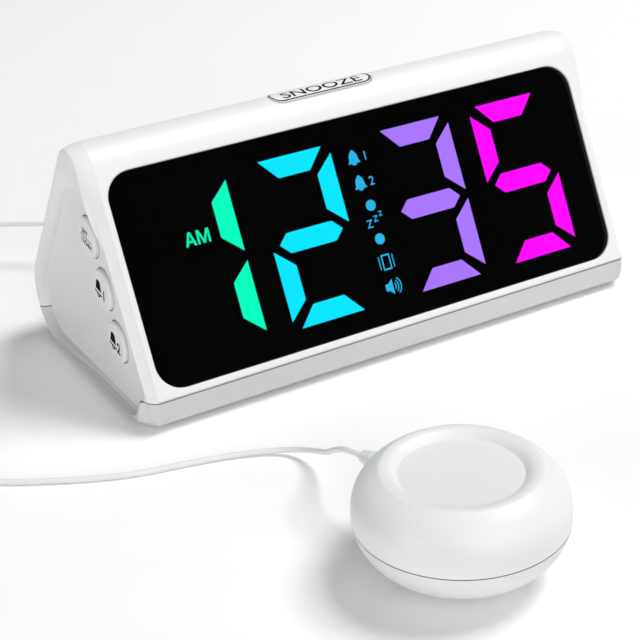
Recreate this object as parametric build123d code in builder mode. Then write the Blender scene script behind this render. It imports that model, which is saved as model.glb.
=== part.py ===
from build123d import *
import math
import os

os.makedirs("parts", exist_ok=True)

# Clock body, in mm. X runs along the clock, Y to its back, Z up from the table.
clock_width = 175.0
half_width = clock_width / 2
front_angle = 63.6
back_angle = 54.5
front_y = 22.93
back_y = 106.0
seam_z = 10.0
underside_z = 1.0
apex_radius = 10.0
back_corner_radius = 16.5
front_foot_radius = 4.0
bevel_length = 4.5
bevel_front = 4.5
bevel_back = 2.0
bevel_bottom = 1.5
bevel_apex_radius = 6.0
bevel_back_radius = 14.5
bevel_foot_radius = 2.0
wall = 2.2
front_wall = 3.6
end_wall = 6.7
seam_break = 0.3
fit = 0.15
snug_fit = 0.05
root = 1.0

# End panels, set into the ends of the clock
panel_front_in = 2.95
panel_back_in = 4.0
panel_bottom_z = 2.9
panel_apex_radius = 13.0
panel_back_radius = 12.5
panel_front_radius = 8.0
panel_recess = 3.0
mouth_radius = 0.8
panel_thickness = 2.2
panel_dish_radius = 420.0
panel_dish_depth = 0.7
panel_dish_y = 68.0
panel_dish_z = 32.0
ledge_width = 2.0

# Side buttons
button_diameter = 12.6
button_gap = 0.35
button_pitch = 15.8
button_middle_y = 51.5
button_middle_z = 35.3
button_proud = 2.0
button_flange = 14.2
button_flange_thickness = 1.0
button_travel = 0.8
button_stem = 4.0
button_rest_gap = 0.1
switch_board_front = 4.4
switch_board_back = 15.0
switch_board_length = 46.0
small_screw_head = 3.6
small_screw_head_height = 1.4
small_screw_length = 6.0
small_screw_depth = 5.5
button_edge = 0.6
board_thickness = 1.6
switch_size = 6.0
switch_height = 3.6
plunger_diameter = 3.4
plunger_height = 1.4
panel_post_diameter = 4.6
panel_post_offset = 11.4
panel_post_pitch = 34.0

# Snooze bar on the ridge
snooze_x = -4.0
snooze_length = 34.5
snooze_width = 7.6
snooze_corner = 3.2
snooze_proud = 0.25
snooze_gap = 0.35
snooze_travel = 0.8
snooze_flange_over = 2.2
snooze_flange_side = 1.0
snooze_flange_thickness = 1.2
snooze_roof_gap = 0.3
snooze_board_z = 58.0
snooze_board_length = 62.0
snooze_board_width = 8.0
snooze_post_pitch = 54.0
snooze_post_diameter = 5.0

# Front window and display stack
window_end_margin = 6.5
window_width = clock_width - 2 * window_end_margin
window_top_margin = 2.0
window_corner = 8.0
window_thickness = 2.0
window_z = 12.15
window_set = 0.1
window_ledge = 3.0
window_side_ledge = 6.8
window_edge_break = 0.3
window_glue = 0.05
mask_thickness = 0.4
reflector_depth = 5.0
reflector_margin = 0.3
digit_lefts = [window_width * share for share in (0.0636, 0.284, 0.547, 0.7642)]
digit_width = window_width / 6
digit_drop = 0.4
segment_width = 6.2
segment_tip = 2.6
segment_bevel = 0.7
segment_gap = 1.4
diffuser_gap = 0.03
icon_off_centre = 0.6
icon_slot_drop = 1.2
icon_slot_width = 9.6
icon_slot_margin = 7.5
icon_chip_pitch = 6.6
letter_slot_rise = 8.5
letter_slot_width = 10.6
letter_slot_height = 6.4
diffuser_depth = 2.5
diffuser_step = 0.8
led_board_gap = 0.2
board_corner = 1.5
led_board_low_margin = 3.2
led_board_top_margin = 6.2
led_ear_in = 12.0
led_ear_width = 11.0
led_ear_reach = 2.4
led_size = 2.8
led_height = 0.9
display_boss_diameter = 5.0
display_boss_over = 1.0
display_screw_shank = 2.0

# Base tray fittings
foot_diameter = 10.0
foot_thickness = 1.5
foot_seat = 0.5
foot_in = 19.5
foot_front_y = 35.0
foot_back_y = 74.0
case_screw_y = 86.0
case_screw_in = 12.5
case_screw_middle_x = 30.0
case_screw_shank = 2.5
case_screw_head = 5.0
case_screw_length = 14.0
case_boss = 7.0
case_boss_top = 30.0
case_web = 1.6
case_standoff = 8.6
case_head_seat_z = 5.0
case_head_height = 2.0
tab_xs = (-12.0, 18.0, 46.0)
tab_front_y = 28.9
tab_back_y = 100.6
tab_width = 10.0
tab_thickness = 1.6
tab_rise = 1.8
main_screw_in = 4.0
main_standoff = 5.0
speaker_ring = 1.6
speaker_ring_height = 3.0
door_screw_in = 2.9
door_boss = 5.0
door_screw_shank = 1.8
speaker_in = 35.5
speaker_y = 58.0
speaker_diameter = 40.0
speaker_height = 13.0
speaker_flange = 1.2
speaker_lip = 3.0
speaker_steel = 0.8
cone_paper = 0.5
voice_coil_radius = 6.0
magnet_diameter = 24.0
magnet_height = 5.0
grille_slot = 2.0
grille_pitch = 4.4
grille_reach = 17.0
cell_in = 47.5
cell_y = 43.0
cell_diameter = 20.0
cell_thickness = 3.2
well_length = 27.0
well_width = 23.0
well_top_z = 8.0
well_wall = 1.4
door_thickness = 1.4
door_rim = 1.6
door_pad = 0.7
door_pad_radius = 8.0
door_screw_head_height = 0.8
door_screw_length = 5.0
contact_pitch = 9.0
contact_width = 4.0
contact_reach = 11.0
contact_foot = 4.0
contact_strip = 0.3

# Main board, sockets and plug on the back
main_left = -64.0
main_speaker_gap = 12.0
main_front_y = 58.0
main_back_y = 98.0
main_top_z = 13.0
chip_size = 12.0
chip_height = 1.6
capacitor_diameter = 6.3
capacitor_height = 7.0
capacitor_pitch = 10.0
shaker_socket_x = -52.0
power_socket_x = -30.0
socket_face_y = 105.0
socket_pad_inner_y = 101.8
socket_pad_length = 42.0
socket_pad_height = 9.0
socket_pad_corner = 3.0
jack_neck = 6.0
jack_height = 5.2
jack_width = 7.0
jack_bore = 3.6
pin_fit = 0.05
power_width = 8.9
power_height = 3.3
power_depth = 10.5
power_wall = 0.3
power_cavity = 6.7
power_tongue_width = 6.7
power_tongue_height = 0.7
power_tongue_length = 4.5
jack_body_front_y = 88.5
jack_bore_depth = 14.5

# Shaker puck
puck_x = -47.9
puck_y = -78.1
puck_radius = 27.2
puck_belly_z = 17.2
puck_rise = 15.8
puck_seam_z = 15.5
puck_under_z = 1.0
puck_wall = 2.0
puck_top_power = 2.4
puck_low_power = 2.2
puck_inner_power = 4.2
inner_turn_share = 0.95
rim_radius = 20.6
crest_radius = 19.0
crest_rise = 0.45
dish_radius = 15.6
dish_depth = 1.75
puck_foot_radius = 8.4
motor_z = 15.0
motor_diameter = 15.4
motor_length = 20.0
motor_flat = 12.0
shaft_diameter = 2.0
shaft_fit = 0.05
weight_radius = 7.5
weight_length = 8.0
puck_post_z = 12.0
puck_post_radius = 19.0
puck_screw_turns = (60, 180, 300)
puck_post_diameter = 6.0
puck_boss_diameter = 8.0
puck_screw_shank = 2.5
puck_screw_head = 4.4
puck_screw_length = 12.0
puck_screw_bite = 10.0
puck_head_seat_z = 8.0
lip_depth = 3.0
lip_rise = 2.0
lip_thickness = 1.4
motor_start = -13.0
motor_nose_diameter = 5.0
motor_nose_length = 1.0
cradle_in = 3.0
cradle_rib = 2.0
cradle_cheek = 1.6
cradle_top_z = 13.0
clamp_pitch = 23.0
clamp_post = 5.4
clamp_thickness = 1.2
shaft_depth = 6.0
weight_gap = 0.6
weight_hub = 5.0
boot_angle = 107.5
boot_z = 20.0
boot_inner = 21.4
boot_flange = 6.0
boot_flange_thickness = 1.6
boot_diameter = 5.0
boot_shoulder = 28.6
boot_reach = 32.0
boot_tip = 3.2
boot_notch = 9.0

# Plug and cord; the routes lie on the table from the plug and the puck to a put-away coil
pin_length = 14.0
plug_diameter = 7.6
plug_grip = 14.0
plug_step = 1.2
plug_sleeve = 11.0
sleeve_diameter = 5.0
cord_diameter = 1.6
cord_rest_z = 0.9
coil_x = -132.0
coil_y = 104.0
coil_mean_diameter = 19.0
coil_pitch = 2.65
coil_layer_pitch = 2.2
coil_layers = 4
coil_turns_per_layer = 5
clock_cord_route = [
    (-52.0, 136.0, 15.6),
    (-54.8, 142.2, 15.6),
    (-61.0, 147.5, 15.4),
    (-69.5, 153.8, 15.0),
    (-79.5, 164.0, 14.0),
    (-91.5, 171.5, 11.5),
    (-106.5, 172.8, 7.5),
    (-121.5, 166.5, 3.6),
    (-135.0, 155.0, 1.6),
    (-144.6, 141.5, 2.4),
    (-149.0, 127.5, 5.6),
    (-148.79, 116.0, 7.5),
]
puck_cord_route = [
    (-59.17, -42.33, 20.0),
    (-58.9, -35.0, 16.0),
    (-56.0, -26.0, 9.4),
    (-54.2, -16.0, 4.4),
    (-57.8, -6.6, 1.3),
    (-69.6, -0.8, 0.9),
    (-83.4, 3.0, 0.9),
    (-97.4, 5.8, 0.9),
    (-107.4, 9.7, 0.9),
    (-119.8, 16.2, 0.9),
    (-131.8, 23.6, 0.9),
    (-142.0, 33.0, 0.9),
    (-147.4, 45.5, 0.9),
    (-149.4, 59.5, 0.9),
    (-148.5, 74.5, 0.9),
    (-147.46, 89.0, 0.9),
]

front_slope = math.radians(front_angle)
back_slope = math.radians(back_angle)
tan_front = math.tan(front_slope)
tan_back = math.tan(back_slope)
back_touch_y = back_y - back_corner_radius + back_corner_radius * math.sin(back_slope)
back_touch_z = underside_z + back_corner_radius + back_corner_radius * math.cos(back_slope)


def front_line(z, inset):
    """Y of the front plane at height z, moved inwards by inset."""
    return front_y + (z - seam_z) / tan_front + inset / math.sin(front_slope)


def back_line(z, inset):
    """Y of the back plane at height z, moved inwards by inset."""
    return back_touch_y - (z - back_touch_z) / tan_back - inset / math.sin(back_slope)


def apex(front_in, back_in):
    """Point where the front and back planes meet after their insets."""
    gap = back_line(0, back_in) - front_line(0, front_in)
    z = gap / (1 / tan_front + 1 / tan_back)
    return (front_line(z, front_in), z)


def rounded_triangle(front_in, back_in, bottom_z, apex_r, back_r, front_r):
    """Section of the clock as a triangle with rounded corners."""
    top = apex(front_in, back_in)
    start = (front_line(bottom_z, front_in), bottom_z)
    end = (back_line(bottom_z, back_in), bottom_z)
    middle = (start[0] + end[0]) / 2
    with BuildSketch() as outline:
        with BuildLine():
            FilletPolyline(
                (middle - 1, bottom_z),
                start,
                top,
                end,
                (middle + 1, bottom_z),
                radius=[front_r, apex_r, back_r],
            )
            Line((middle + 1, bottom_z), (middle - 1, bottom_z))
        make_face()
    return outline.sketch


def clock_section(front_in, back_in, bottom_z, apex_r, back_r, foot_r):
    """Section of the whole clock: a sloping front and back, with an upright foot below the seam."""
    foot_y = front_line(seam_z, front_in)
    with BuildSketch() as outline:
        with BuildLine():
            FilletPolyline(
                (foot_y, seam_z),
                apex(front_in, back_in),
                (back_line(bottom_z, back_in), bottom_z),
                (foot_y, bottom_z),
                (foot_y, seam_z - root),
                radius=[apex_r, back_r, foot_r],
            )
            Line((foot_y, seam_z - root), (foot_y, seam_z))
        make_face()
    return outline.sketch


# Whole outer form of the clock: one section along its length, bevelled to a smaller one at both ends
full_section = clock_section(0, 0, underside_z, apex_radius, back_corner_radius, front_foot_radius)
end_section = clock_section(
    bevel_front,
    bevel_back,
    underside_z + bevel_bottom,
    bevel_apex_radius,
    bevel_back_radius,
    bevel_foot_radius,
)
with BuildPart() as end_bevel:
    with BuildSketch(Plane.YZ.offset(-half_width)):
        add(end_section)
    with BuildSketch(Plane.YZ.offset(-half_width + bevel_length)):
        add(full_section)
    loft(ruled=True)
with BuildPart() as clock_form:
    with BuildSketch(Plane.YZ.offset(-half_width + bevel_length)):
        add(full_section)
    extrude(amount=clock_width - 2 * bevel_length)
    add(end_bevel.part)
    mirror(end_bevel.part, about=Plane.YZ)
clock_top = clock_form.part.bounding_box().max.Z

# Hollow inside the clock
with BuildPart() as hollow:
    with BuildSketch(Plane.YZ.offset(-half_width + end_wall)):
        add(
            rounded_triangle(
                front_wall, wall, underside_z + wall, apex_radius - wall, back_corner_radius - wall, wall
            )
        )
    extrude(amount=clock_width - 2 * end_wall)

# Pocket and opening for an end panel, at the left end
panel_outer_x = -half_width + panel_recess
panel_inner_x = panel_outer_x + panel_thickness
with BuildPart() as panel_pocket:
    with BuildSketch(Plane.YZ.offset(-half_width - 1)):
        add(
            rounded_triangle(
                panel_front_in - fit,
                panel_back_in - fit,
                panel_bottom_z - fit,
                panel_apex_radius + fit,
                panel_back_radius + fit,
                panel_front_radius + fit,
            )
        )
    extrude(amount=1 + panel_recess + panel_thickness)
    with BuildSketch(Plane.YZ.offset(panel_inner_x)):
        add(
            rounded_triangle(
                front_wall,
                panel_back_in + ledge_width,
                panel_bottom_z + ledge_width,
                panel_apex_radius - ledge_width,
                panel_back_radius - ledge_width,
                panel_front_radius - ledge_width,
            )
        )
    extrude(amount=end_wall)
    mirror(about=Plane.YZ)

# Centre line of the rounded ridge
ridge_y, ridge_z = apex(apex_radius, apex_radius)

# Planes of the display: x from the left edge of the window, y up the slope from its lower edge
front_flat_top_z = ridge_z + apex_radius * math.cos(front_slope)
window_height = (front_flat_top_z - window_z) / math.sin(front_slope) - window_top_margin
front_normal = (0, -math.sin(front_slope), math.cos(front_slope))
window_corner_point = (-window_width / 2, front_line(window_z, 0), window_z)
front_plane = Plane(origin=window_corner_point, x_dir=(1, 0, 0), z_dir=front_normal)
window_back = window_set + window_thickness
mask_front = window_back + window_glue
mask_back = mask_front + mask_thickness
led_board_front = mask_back + reflector_depth
window_middle = (window_width / 2, window_height / 2)
opening_width = window_width - 2 * window_side_ledge
opening_height = window_height - 2 * window_ledge
led_board_half = opening_width / 2 - led_board_gap
led_ear_x = led_board_half - led_ear_in
digit_height = 0.8 * window_height
digit_bottom = (window_height - digit_height) / 2 - digit_drop
icon_slot_middle = window_height / 2 - icon_slot_drop
icon_slot_height = window_height - 2 * icon_slot_margin
letter_slot_y = window_height / 2 + letter_slot_rise
led_board_top = window_height - led_board_top_margin
display_boss_high = window_height + display_boss_over
icon_x = window_width / 2 + icon_off_centre
letter_slot_x = digit_lefts[0] + digit_width / 2
boss_spots = [
    (window_width / 2 - led_ear_x, 0),
    (window_width / 2 + led_ear_x, 0),
    (window_width / 2 - led_ear_x, display_boss_high),
    (window_width / 2 + led_ear_x, display_boss_high),
]

# Snooze board and its posts under the ridge
snooze_post_reach = snooze_post_pitch / 2
snooze_post_spots = [(snooze_x - snooze_post_reach, ridge_y), (snooze_x + snooze_post_reach, ridge_y)]
snooze_board_top = snooze_board_z + board_thickness

# Places that follow the length of the clock
foot_x = half_width - foot_in
case_screw_xs = (case_screw_in - half_width, case_screw_middle_x, half_width - case_screw_in)
speaker_x = half_width - speaker_in
cell_x = cell_in - half_width
main_right = speaker_x - speaker_diameter / 2 - main_speaker_gap

# Sockets in the back
jack_axis_z = main_top_z + jack_height / 2
power_axis_z = main_top_z + power_height / 2
socket_pad_middle = ((shaker_socket_x + power_socket_x) / 2, jack_axis_z)

# Screw posts with their webs, kept inside the clock's form
with BuildPart() as case_posts:
    with BuildSketch(Plane.XY.offset(seam_z)):
        for x in case_screw_xs:
            with Locations((x, case_screw_y)):
                Circle(case_boss / 2)
            with Locations((x, (case_screw_y + back_y) / 2)):
                Rectangle(case_web, back_y - case_screw_y)
    extrude(amount=case_boss_top - seam_z)
    add(clock_form.part, mode=Mode.INTERSECT)


def on_pocket_mouth(edge):
    """Whether an edge of the upper housing borders the mouth of an end panel's pocket."""
    middle = edge @ 0.5
    outside = abs(middle.X) > -panel_outer_x and middle.Z > seam_z + root
    return outside and Vertex(middle).distance_to(panel_pocket.part) < fit / 10


# Upper housing: shell with window rebate, end openings, snooze slot, bosses and webs
with BuildPart() as upper_housing:
    add(clock_form.part)
    split(bisect_by=Plane.XY.offset(seam_z), keep=Keep.TOP)
    add(hollow.part, mode=Mode.SUBTRACT)
    add(panel_pocket.part, mode=Mode.SUBTRACT)
    fillet(upper_housing.edges().filter_by(on_pocket_mouth), mouth_radius)
    with BuildSketch(front_plane):
        with Locations(window_middle):
            RectangleRounded(window_width + 2 * fit, window_height + 2 * fit, window_corner + fit)
    extrude(amount=-mask_back, mode=Mode.SUBTRACT)
    with BuildSketch(front_plane.offset(-mask_back)):
        with Locations(window_middle):
            RectangleRounded(opening_width, opening_height, window_corner - window_ledge)
    extrude(amount=-front_wall, mode=Mode.SUBTRACT)
    with BuildSketch(Plane.XY.offset(ridge_z)):
        with Locations((snooze_x, ridge_y)):
            RectangleRounded(
                snooze_length + 2 * snooze_gap, snooze_width + 2 * snooze_gap, snooze_corner + snooze_gap
            )
    extrude(amount=2 * apex_radius, mode=Mode.SUBTRACT)
    with BuildSketch(front_plane.offset(-front_wall + root)):
        with Locations(*boss_spots):
            Circle(display_boss_diameter / 2)
    extrude(amount=-(led_board_front - front_wall + root))
    with BuildSketch(front_plane.offset(-led_board_front)):
        with Locations(*boss_spots):
            Circle(display_screw_shank / 2 + snug_fit)
    extrude(amount=led_board_front - front_wall, mode=Mode.SUBTRACT)
    with BuildSketch(Plane.XY.offset(snooze_board_top)):
        with Locations(*snooze_post_spots):
            Circle(snooze_post_diameter / 2)
    extrude(amount=clock_top - wall / 2 - snooze_board_top)
    with BuildSketch(Plane.XY.offset(snooze_board_top)):
        with Locations(*snooze_post_spots):
            Circle(display_screw_shank / 2 + snug_fit)
    extrude(amount=small_screw_depth, mode=Mode.SUBTRACT)
    add(case_posts.part)
    with BuildSketch(Plane.XY.offset(seam_z)):
        for x in case_screw_xs:
            with Locations((x, case_screw_y)):
                Circle(case_screw_shank / 2 + snug_fit)
    extrude(amount=case_screw_length, mode=Mode.SUBTRACT)
    with BuildSketch(Plane.XZ.offset(-socket_pad_inner_y)):
        with Locations(socket_pad_middle):
            Rectangle(socket_pad_length - 2 * wall, socket_pad_height)
    extrude(amount=-wall)
    with BuildSketch(Plane.XZ.offset(-socket_face_y)):
        with Locations(socket_pad_middle):
            RectangleRounded(socket_pad_length, socket_pad_height, socket_pad_corner)
    extrude(amount=-2 * wall, mode=Mode.SUBTRACT)
    with BuildSketch(Plane.XZ.offset(-socket_face_y)):
        with Locations((shaker_socket_x, jack_axis_z)):
            Circle(jack_neck / 2 + fit)
        with Locations((power_socket_x, power_axis_z)):
            SlotOverall(power_width + 4 * fit, power_height + 4 * fit)
    extrude(amount=2 * wall, mode=Mode.SUBTRACT)
upper_housing.part.label = "upper_housing"
export_step(upper_housing.part, "parts/upper_housing.step")

# Base tray: shallow tub with seats for the feet, speaker, cell, main board and case screws
floor_top = underside_z + wall
well_spot = (cell_x, cell_y)
door_screw_spot = (cell_x + well_length / 2 - door_screw_in, cell_y + well_width / 2 - door_screw_in)
foot_spots = [(x, y) for y in (foot_front_y, foot_back_y) for x in (-foot_x, foot_x)]
main_middle = ((main_left + main_right) / 2, (main_front_y + main_back_y) / 2)
main_size = (main_right - main_left, main_back_y - main_front_y)
main_under_z = main_top_z - board_thickness
main_screw_pitch = (main_size[0] - 2 * main_screw_in, main_size[1] - 2 * main_screw_in)
case_spots = [(x, case_screw_y) for x in case_screw_xs]
with BuildPart() as tray_tabs:
    with BuildSketch(Plane.XY.offset(floor_top - wall / 2)):
        with Locations(*[(x, tab_front_y) for x in tab_xs]):
            Rectangle(tab_width, tab_thickness)
        with Locations(*[(x, tab_back_y) for x in tab_xs]):
            Rectangle(tab_width, tab_thickness)
    extrude(amount=seam_z + tab_rise - floor_top + wall / 2)
    add(clock_form.part, mode=Mode.INTERSECT)
with BuildPart() as base_tray:
    add(clock_form.part)
    split(bisect_by=Plane.XY.offset(seam_z), keep=Keep.BOTTOM)
    chamfer(base_tray.edges().group_by(Axis.Z)[-1], seam_break)
    with BuildSketch(Plane.YZ.offset(-half_width + end_wall)):
        with BuildLine():
            FilletPolyline(
                (front_y + wall, back_touch_z + wall),
                (front_y + wall, floor_top),
                (back_line(floor_top, wall), floor_top),
                (back_line(back_touch_z + wall, wall), back_touch_z + wall),
                radius=[wall, back_corner_radius - wall],
            )
            Line(
                (back_line(back_touch_z + wall, wall), back_touch_z + wall),
                (front_y + wall, back_touch_z + wall),
            )
        make_face()
    extrude(amount=clock_width - 2 * end_wall, mode=Mode.SUBTRACT)
    add(panel_pocket.part, mode=Mode.SUBTRACT)
    add(tray_tabs.part)
    with BuildSketch(Plane.XY.offset(floor_top - wall / 2)):
        with Locations(*case_spots):
            Circle(case_standoff / 2)
    extrude(amount=seam_z - floor_top + wall / 2)
    with BuildSketch(Plane.XY.offset(floor_top - wall / 2)):
        with Locations(main_middle):
            with GridLocations(*main_screw_pitch, 2, 2):
                Circle(main_standoff / 2)
    extrude(amount=main_under_z - floor_top + wall / 2)
    with BuildSketch(Plane.XY.offset(main_under_z)):
        with Locations(main_middle):
            with GridLocations(*main_screw_pitch, 2, 2):
                Circle(display_screw_shank / 2 + snug_fit)
    extrude(amount=-small_screw_depth, mode=Mode.SUBTRACT)
    with BuildSketch(Plane.XY.offset(floor_top - wall / 2)):
        with Locations((speaker_x, speaker_y)):
            Circle(speaker_diameter / 2 + fit + speaker_ring)
            Circle(speaker_diameter / 2 + fit, mode=Mode.SUBTRACT)
    extrude(amount=speaker_ring_height + wall / 2)
    with BuildSketch(Plane.XY):
        for row in range(-3, 4):
            offset_y = row * grille_pitch
            reach = math.sqrt(grille_reach**2 - offset_y**2)
            with Locations((speaker_x, speaker_y + offset_y)):
                SlotOverall(2 * reach, grille_slot)
    extrude(amount=floor_top, mode=Mode.SUBTRACT)
    with BuildSketch(Plane.XY.offset(floor_top - wall / 2)):
        with Locations(well_spot):
            Rectangle(well_length + 2 * well_wall, well_width + 2 * well_wall)
    extrude(amount=well_top_z + well_wall - floor_top + wall / 2)
    with BuildSketch(Plane.XY):
        with Locations(well_spot):
            Rectangle(well_length, well_width)
    extrude(amount=well_top_z, mode=Mode.SUBTRACT)
    with BuildSketch(Plane.XY):
        with Locations(well_spot):
            Rectangle(well_length + 2 * door_rim, well_width + 2 * door_rim)
    extrude(amount=underside_z + door_thickness, mode=Mode.SUBTRACT)
    with BuildSketch(Plane.XY.offset(underside_z + door_thickness)):
        with Locations(door_screw_spot):
            Circle(door_boss / 2)
    extrude(amount=well_top_z - underside_z - door_thickness + well_wall / 2)
    with BuildSketch(Plane.XY):
        with Locations(door_screw_spot):
            Circle(door_screw_shank / 2 + snug_fit)
    extrude(amount=well_top_z, mode=Mode.SUBTRACT)
    with BuildSketch(Plane.XY):
        with Locations(*foot_spots):
            Circle(foot_diameter / 2 + snug_fit)
    extrude(amount=underside_z + foot_seat, mode=Mode.SUBTRACT)
    with BuildSketch(Plane.XY):
        with Locations(*case_spots):
            Circle(case_screw_head / 2 + 2 * fit)
    extrude(amount=case_head_seat_z, mode=Mode.SUBTRACT)
    with BuildSketch(Plane.XY):
        with Locations(*case_spots):
            Circle(case_screw_shank / 2 + 2 * fit)
    extrude(amount=seam_z, mode=Mode.SUBTRACT)
base_tray.part.label = "base_tray"
export_step(base_tray.part, "parts/base_tray.step")

# End panels: dished plates with three button holes and two posts for the switch board
across = (0, math.sin(front_slope), -math.cos(front_slope))
button_spots = [(0, button_pitch), (0, 0), (0, -button_pitch)]
post_spots = [(panel_post_offset, panel_post_pitch / 2), (panel_post_offset, -panel_post_pitch / 2)]
flange_outer_x = panel_inner_x + button_rest_gap
flange_inner_x = flange_outer_x + button_flange_thickness
switch_face_x = flange_inner_x + button_travel + button_rest_gap + plunger_height + switch_height


def button_plane(x):
    """Plane along the row of side buttons at the left end: local x runs back, local y up the slope."""
    return Plane(origin=(x, button_middle_y, button_middle_z), x_dir=across, z_dir=(1, 0, 0))


with BuildPart() as left_end_panel:
    with BuildSketch(Plane.YZ.offset(panel_outer_x)):
        add(
            rounded_triangle(
                panel_front_in,
                panel_back_in,
                panel_bottom_z,
                panel_apex_radius,
                panel_back_radius,
                panel_front_radius,
            )
        )
    extrude(amount=panel_thickness)
    with Locations((panel_outer_x + panel_dish_depth - panel_dish_radius, panel_dish_y, panel_dish_z)):
        Sphere(panel_dish_radius, mode=Mode.SUBTRACT)
    with BuildSketch(button_plane(panel_outer_x)):
        with Locations(*button_spots):
            Circle(button_diameter / 2 + button_gap)
    extrude(amount=panel_thickness, mode=Mode.SUBTRACT)
    with BuildSketch(button_plane(panel_inner_x - panel_thickness / 4)):
        with Locations(*post_spots):
            Circle(panel_post_diameter / 2)
    extrude(amount=switch_face_x - panel_inner_x + panel_thickness / 4)
    with BuildSketch(button_plane(switch_face_x)):
        with Locations(*post_spots):
            Circle(display_screw_shank / 2 + snug_fit)
    extrude(amount=-small_screw_depth, mode=Mode.SUBTRACT)
left_end_panel.part.label = "left_end_panel"
export_step(left_end_panel.part, "parts/left_end_panel.step")

with BuildPart() as right_end_panel:
    mirror(left_end_panel.part, about=Plane.YZ)
right_end_panel.part.label = "right_end_panel"
export_step(right_end_panel.part, "parts/right_end_panel.step")

# Side buttons: round caps held behind the panel by a flange
button_face_x = panel_outer_x + panel_dish_depth - button_proud


def side_button(spot):
    """Cap of one left side button with its retaining flange."""
    with BuildPart() as cap:
        with BuildSketch(button_plane(button_face_x)):
            with Locations(spot):
                Circle(button_diameter / 2)
        extrude(amount=flange_inner_x - button_face_x)
        fillet(cap.edges().group_by(Axis.X)[0], button_edge)
        with BuildSketch(button_plane(flange_outer_x)):
            with Locations(spot):
                Circle(button_flange / 2)
        extrude(amount=button_flange_thickness)
    return cap.part


with BuildPart() as set_button:
    add(side_button(button_spots[0]))
set_button.part.label = "set_button"
export_step(set_button.part, "parts/set_button.step")

with BuildPart() as alarm_one_button:
    add(side_button(button_spots[1]))
alarm_one_button.part.label = "alarm_one_button"
export_step(alarm_one_button.part, "parts/alarm_one_button.step")

with BuildPart() as alarm_two_button:
    add(side_button(button_spots[2]))
alarm_two_button.part.label = "alarm_two_button"
export_step(alarm_two_button.part, "parts/alarm_two_button.step")

with BuildPart() as up_button:
    mirror(set_button.part, about=Plane.YZ)
up_button.part.label = "up_button"
export_step(up_button.part, "parts/up_button.step")

with BuildPart() as down_button:
    mirror(alarm_one_button.part, about=Plane.YZ)
down_button.part.label = "down_button"
export_step(down_button.part, "parts/down_button.step")

with BuildPart() as light_button:
    mirror(alarm_two_button.part, about=Plane.YZ)
light_button.part.label = "light_button"
export_step(light_button.part, "parts/light_button.step")

# Switch boards behind the end panels, with a key switch under each button
board_middle = ((switch_board_back - switch_board_front) / 2, 0)
with BuildPart() as left_switch_board:
    with BuildSketch(button_plane(switch_face_x)):
        with Locations(board_middle):
            RectangleRounded(switch_board_front + switch_board_back, switch_board_length, board_corner)
        with Locations(*post_spots):
            Circle(display_screw_shank / 2 + fit, mode=Mode.SUBTRACT)
    extrude(amount=board_thickness)
left_switch_board.part.label = "left_switch_board"
export_step(left_switch_board.part, "parts/left_switch_board.step")

with BuildPart() as right_switch_board:
    mirror(left_switch_board.part, about=Plane.YZ)
right_switch_board.part.label = "right_switch_board"
export_step(right_switch_board.part, "parts/right_switch_board.step")

with BuildPart() as left_key_switches:
    with BuildSketch(button_plane(switch_face_x)):
        with Locations(*button_spots):
            Rectangle(switch_size, switch_size)
    extrude(amount=-switch_height)
    with BuildSketch(button_plane(switch_face_x - switch_height)):
        with Locations(*button_spots):
            Circle(plunger_diameter / 2)
    extrude(amount=-plunger_height)
left_key_switches.part.label = "left_key_switches"
export_step(left_key_switches.part, "parts/left_key_switches.step")

with BuildPart() as right_key_switches:
    mirror(left_key_switches.part, about=Plane.YZ)
right_key_switches.part.label = "right_key_switches"
export_step(right_key_switches.part, "parts/right_key_switches.step")

with BuildPart() as switch_board_screws:
    with BuildSketch(button_plane(switch_face_x + board_thickness)):
        with Locations(*post_spots):
            Circle(small_screw_head / 2)
    extrude(amount=small_screw_head_height)
    with BuildSketch(button_plane(switch_face_x + board_thickness)):
        with Locations(*post_spots):
            Circle(display_screw_shank / 2)
    extrude(amount=-small_screw_length)
    mirror(about=Plane.YZ)
switch_board_screws.part.label = "switch_board_screws"
export_step(switch_board_screws.part, "parts/switch_board_screws.step")

# Snooze bar: its top follows the rounded ridge, a flange below keeps it in
flange_half = snooze_width / 2 + snooze_flange_side
roof_y, roof_z = apex(front_wall + apex_radius - wall, apex_radius)
roof_radius = apex_radius - wall - snooze_roof_gap
flange_reach = flange_half + abs(roof_y - ridge_y)
snooze_flange_top = roof_z + math.sqrt(roof_radius**2 - flange_reach**2)
snooze_switch_top = snooze_board_top + switch_height + plunger_height
snooze_stem_end = snooze_switch_top + snooze_travel + button_rest_gap
with BuildPart() as snooze_button:
    with BuildSketch(Plane.XY.offset(snooze_flange_top)):
        with Locations((snooze_x, ridge_y)):
            RectangleRounded(snooze_length, snooze_width, snooze_corner)
    extrude(amount=2 * apex_radius)
    with BuildSketch(Plane.YZ.offset(-half_width)):
        with Locations((ridge_y, ridge_z)):
            Circle(apex_radius + snooze_proud)
    extrude(amount=clock_width, mode=Mode.INTERSECT)
    with BuildSketch(Plane.XY.offset(snooze_flange_top)):
        with Locations((snooze_x, ridge_y)):
            RectangleRounded(snooze_length + 2 * snooze_flange_over, 2 * flange_half, snooze_corner)
    extrude(amount=-snooze_flange_thickness)
    with BuildSketch(Plane.XY.offset(snooze_flange_top - snooze_flange_thickness)):
        with Locations((snooze_x, ridge_y)):
            Circle(button_stem / 2)
    extrude(amount=snooze_stem_end - snooze_flange_top + snooze_flange_thickness)
snooze_button.part.label = "snooze_button"
export_step(snooze_button.part, "parts/snooze_button.step")

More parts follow.
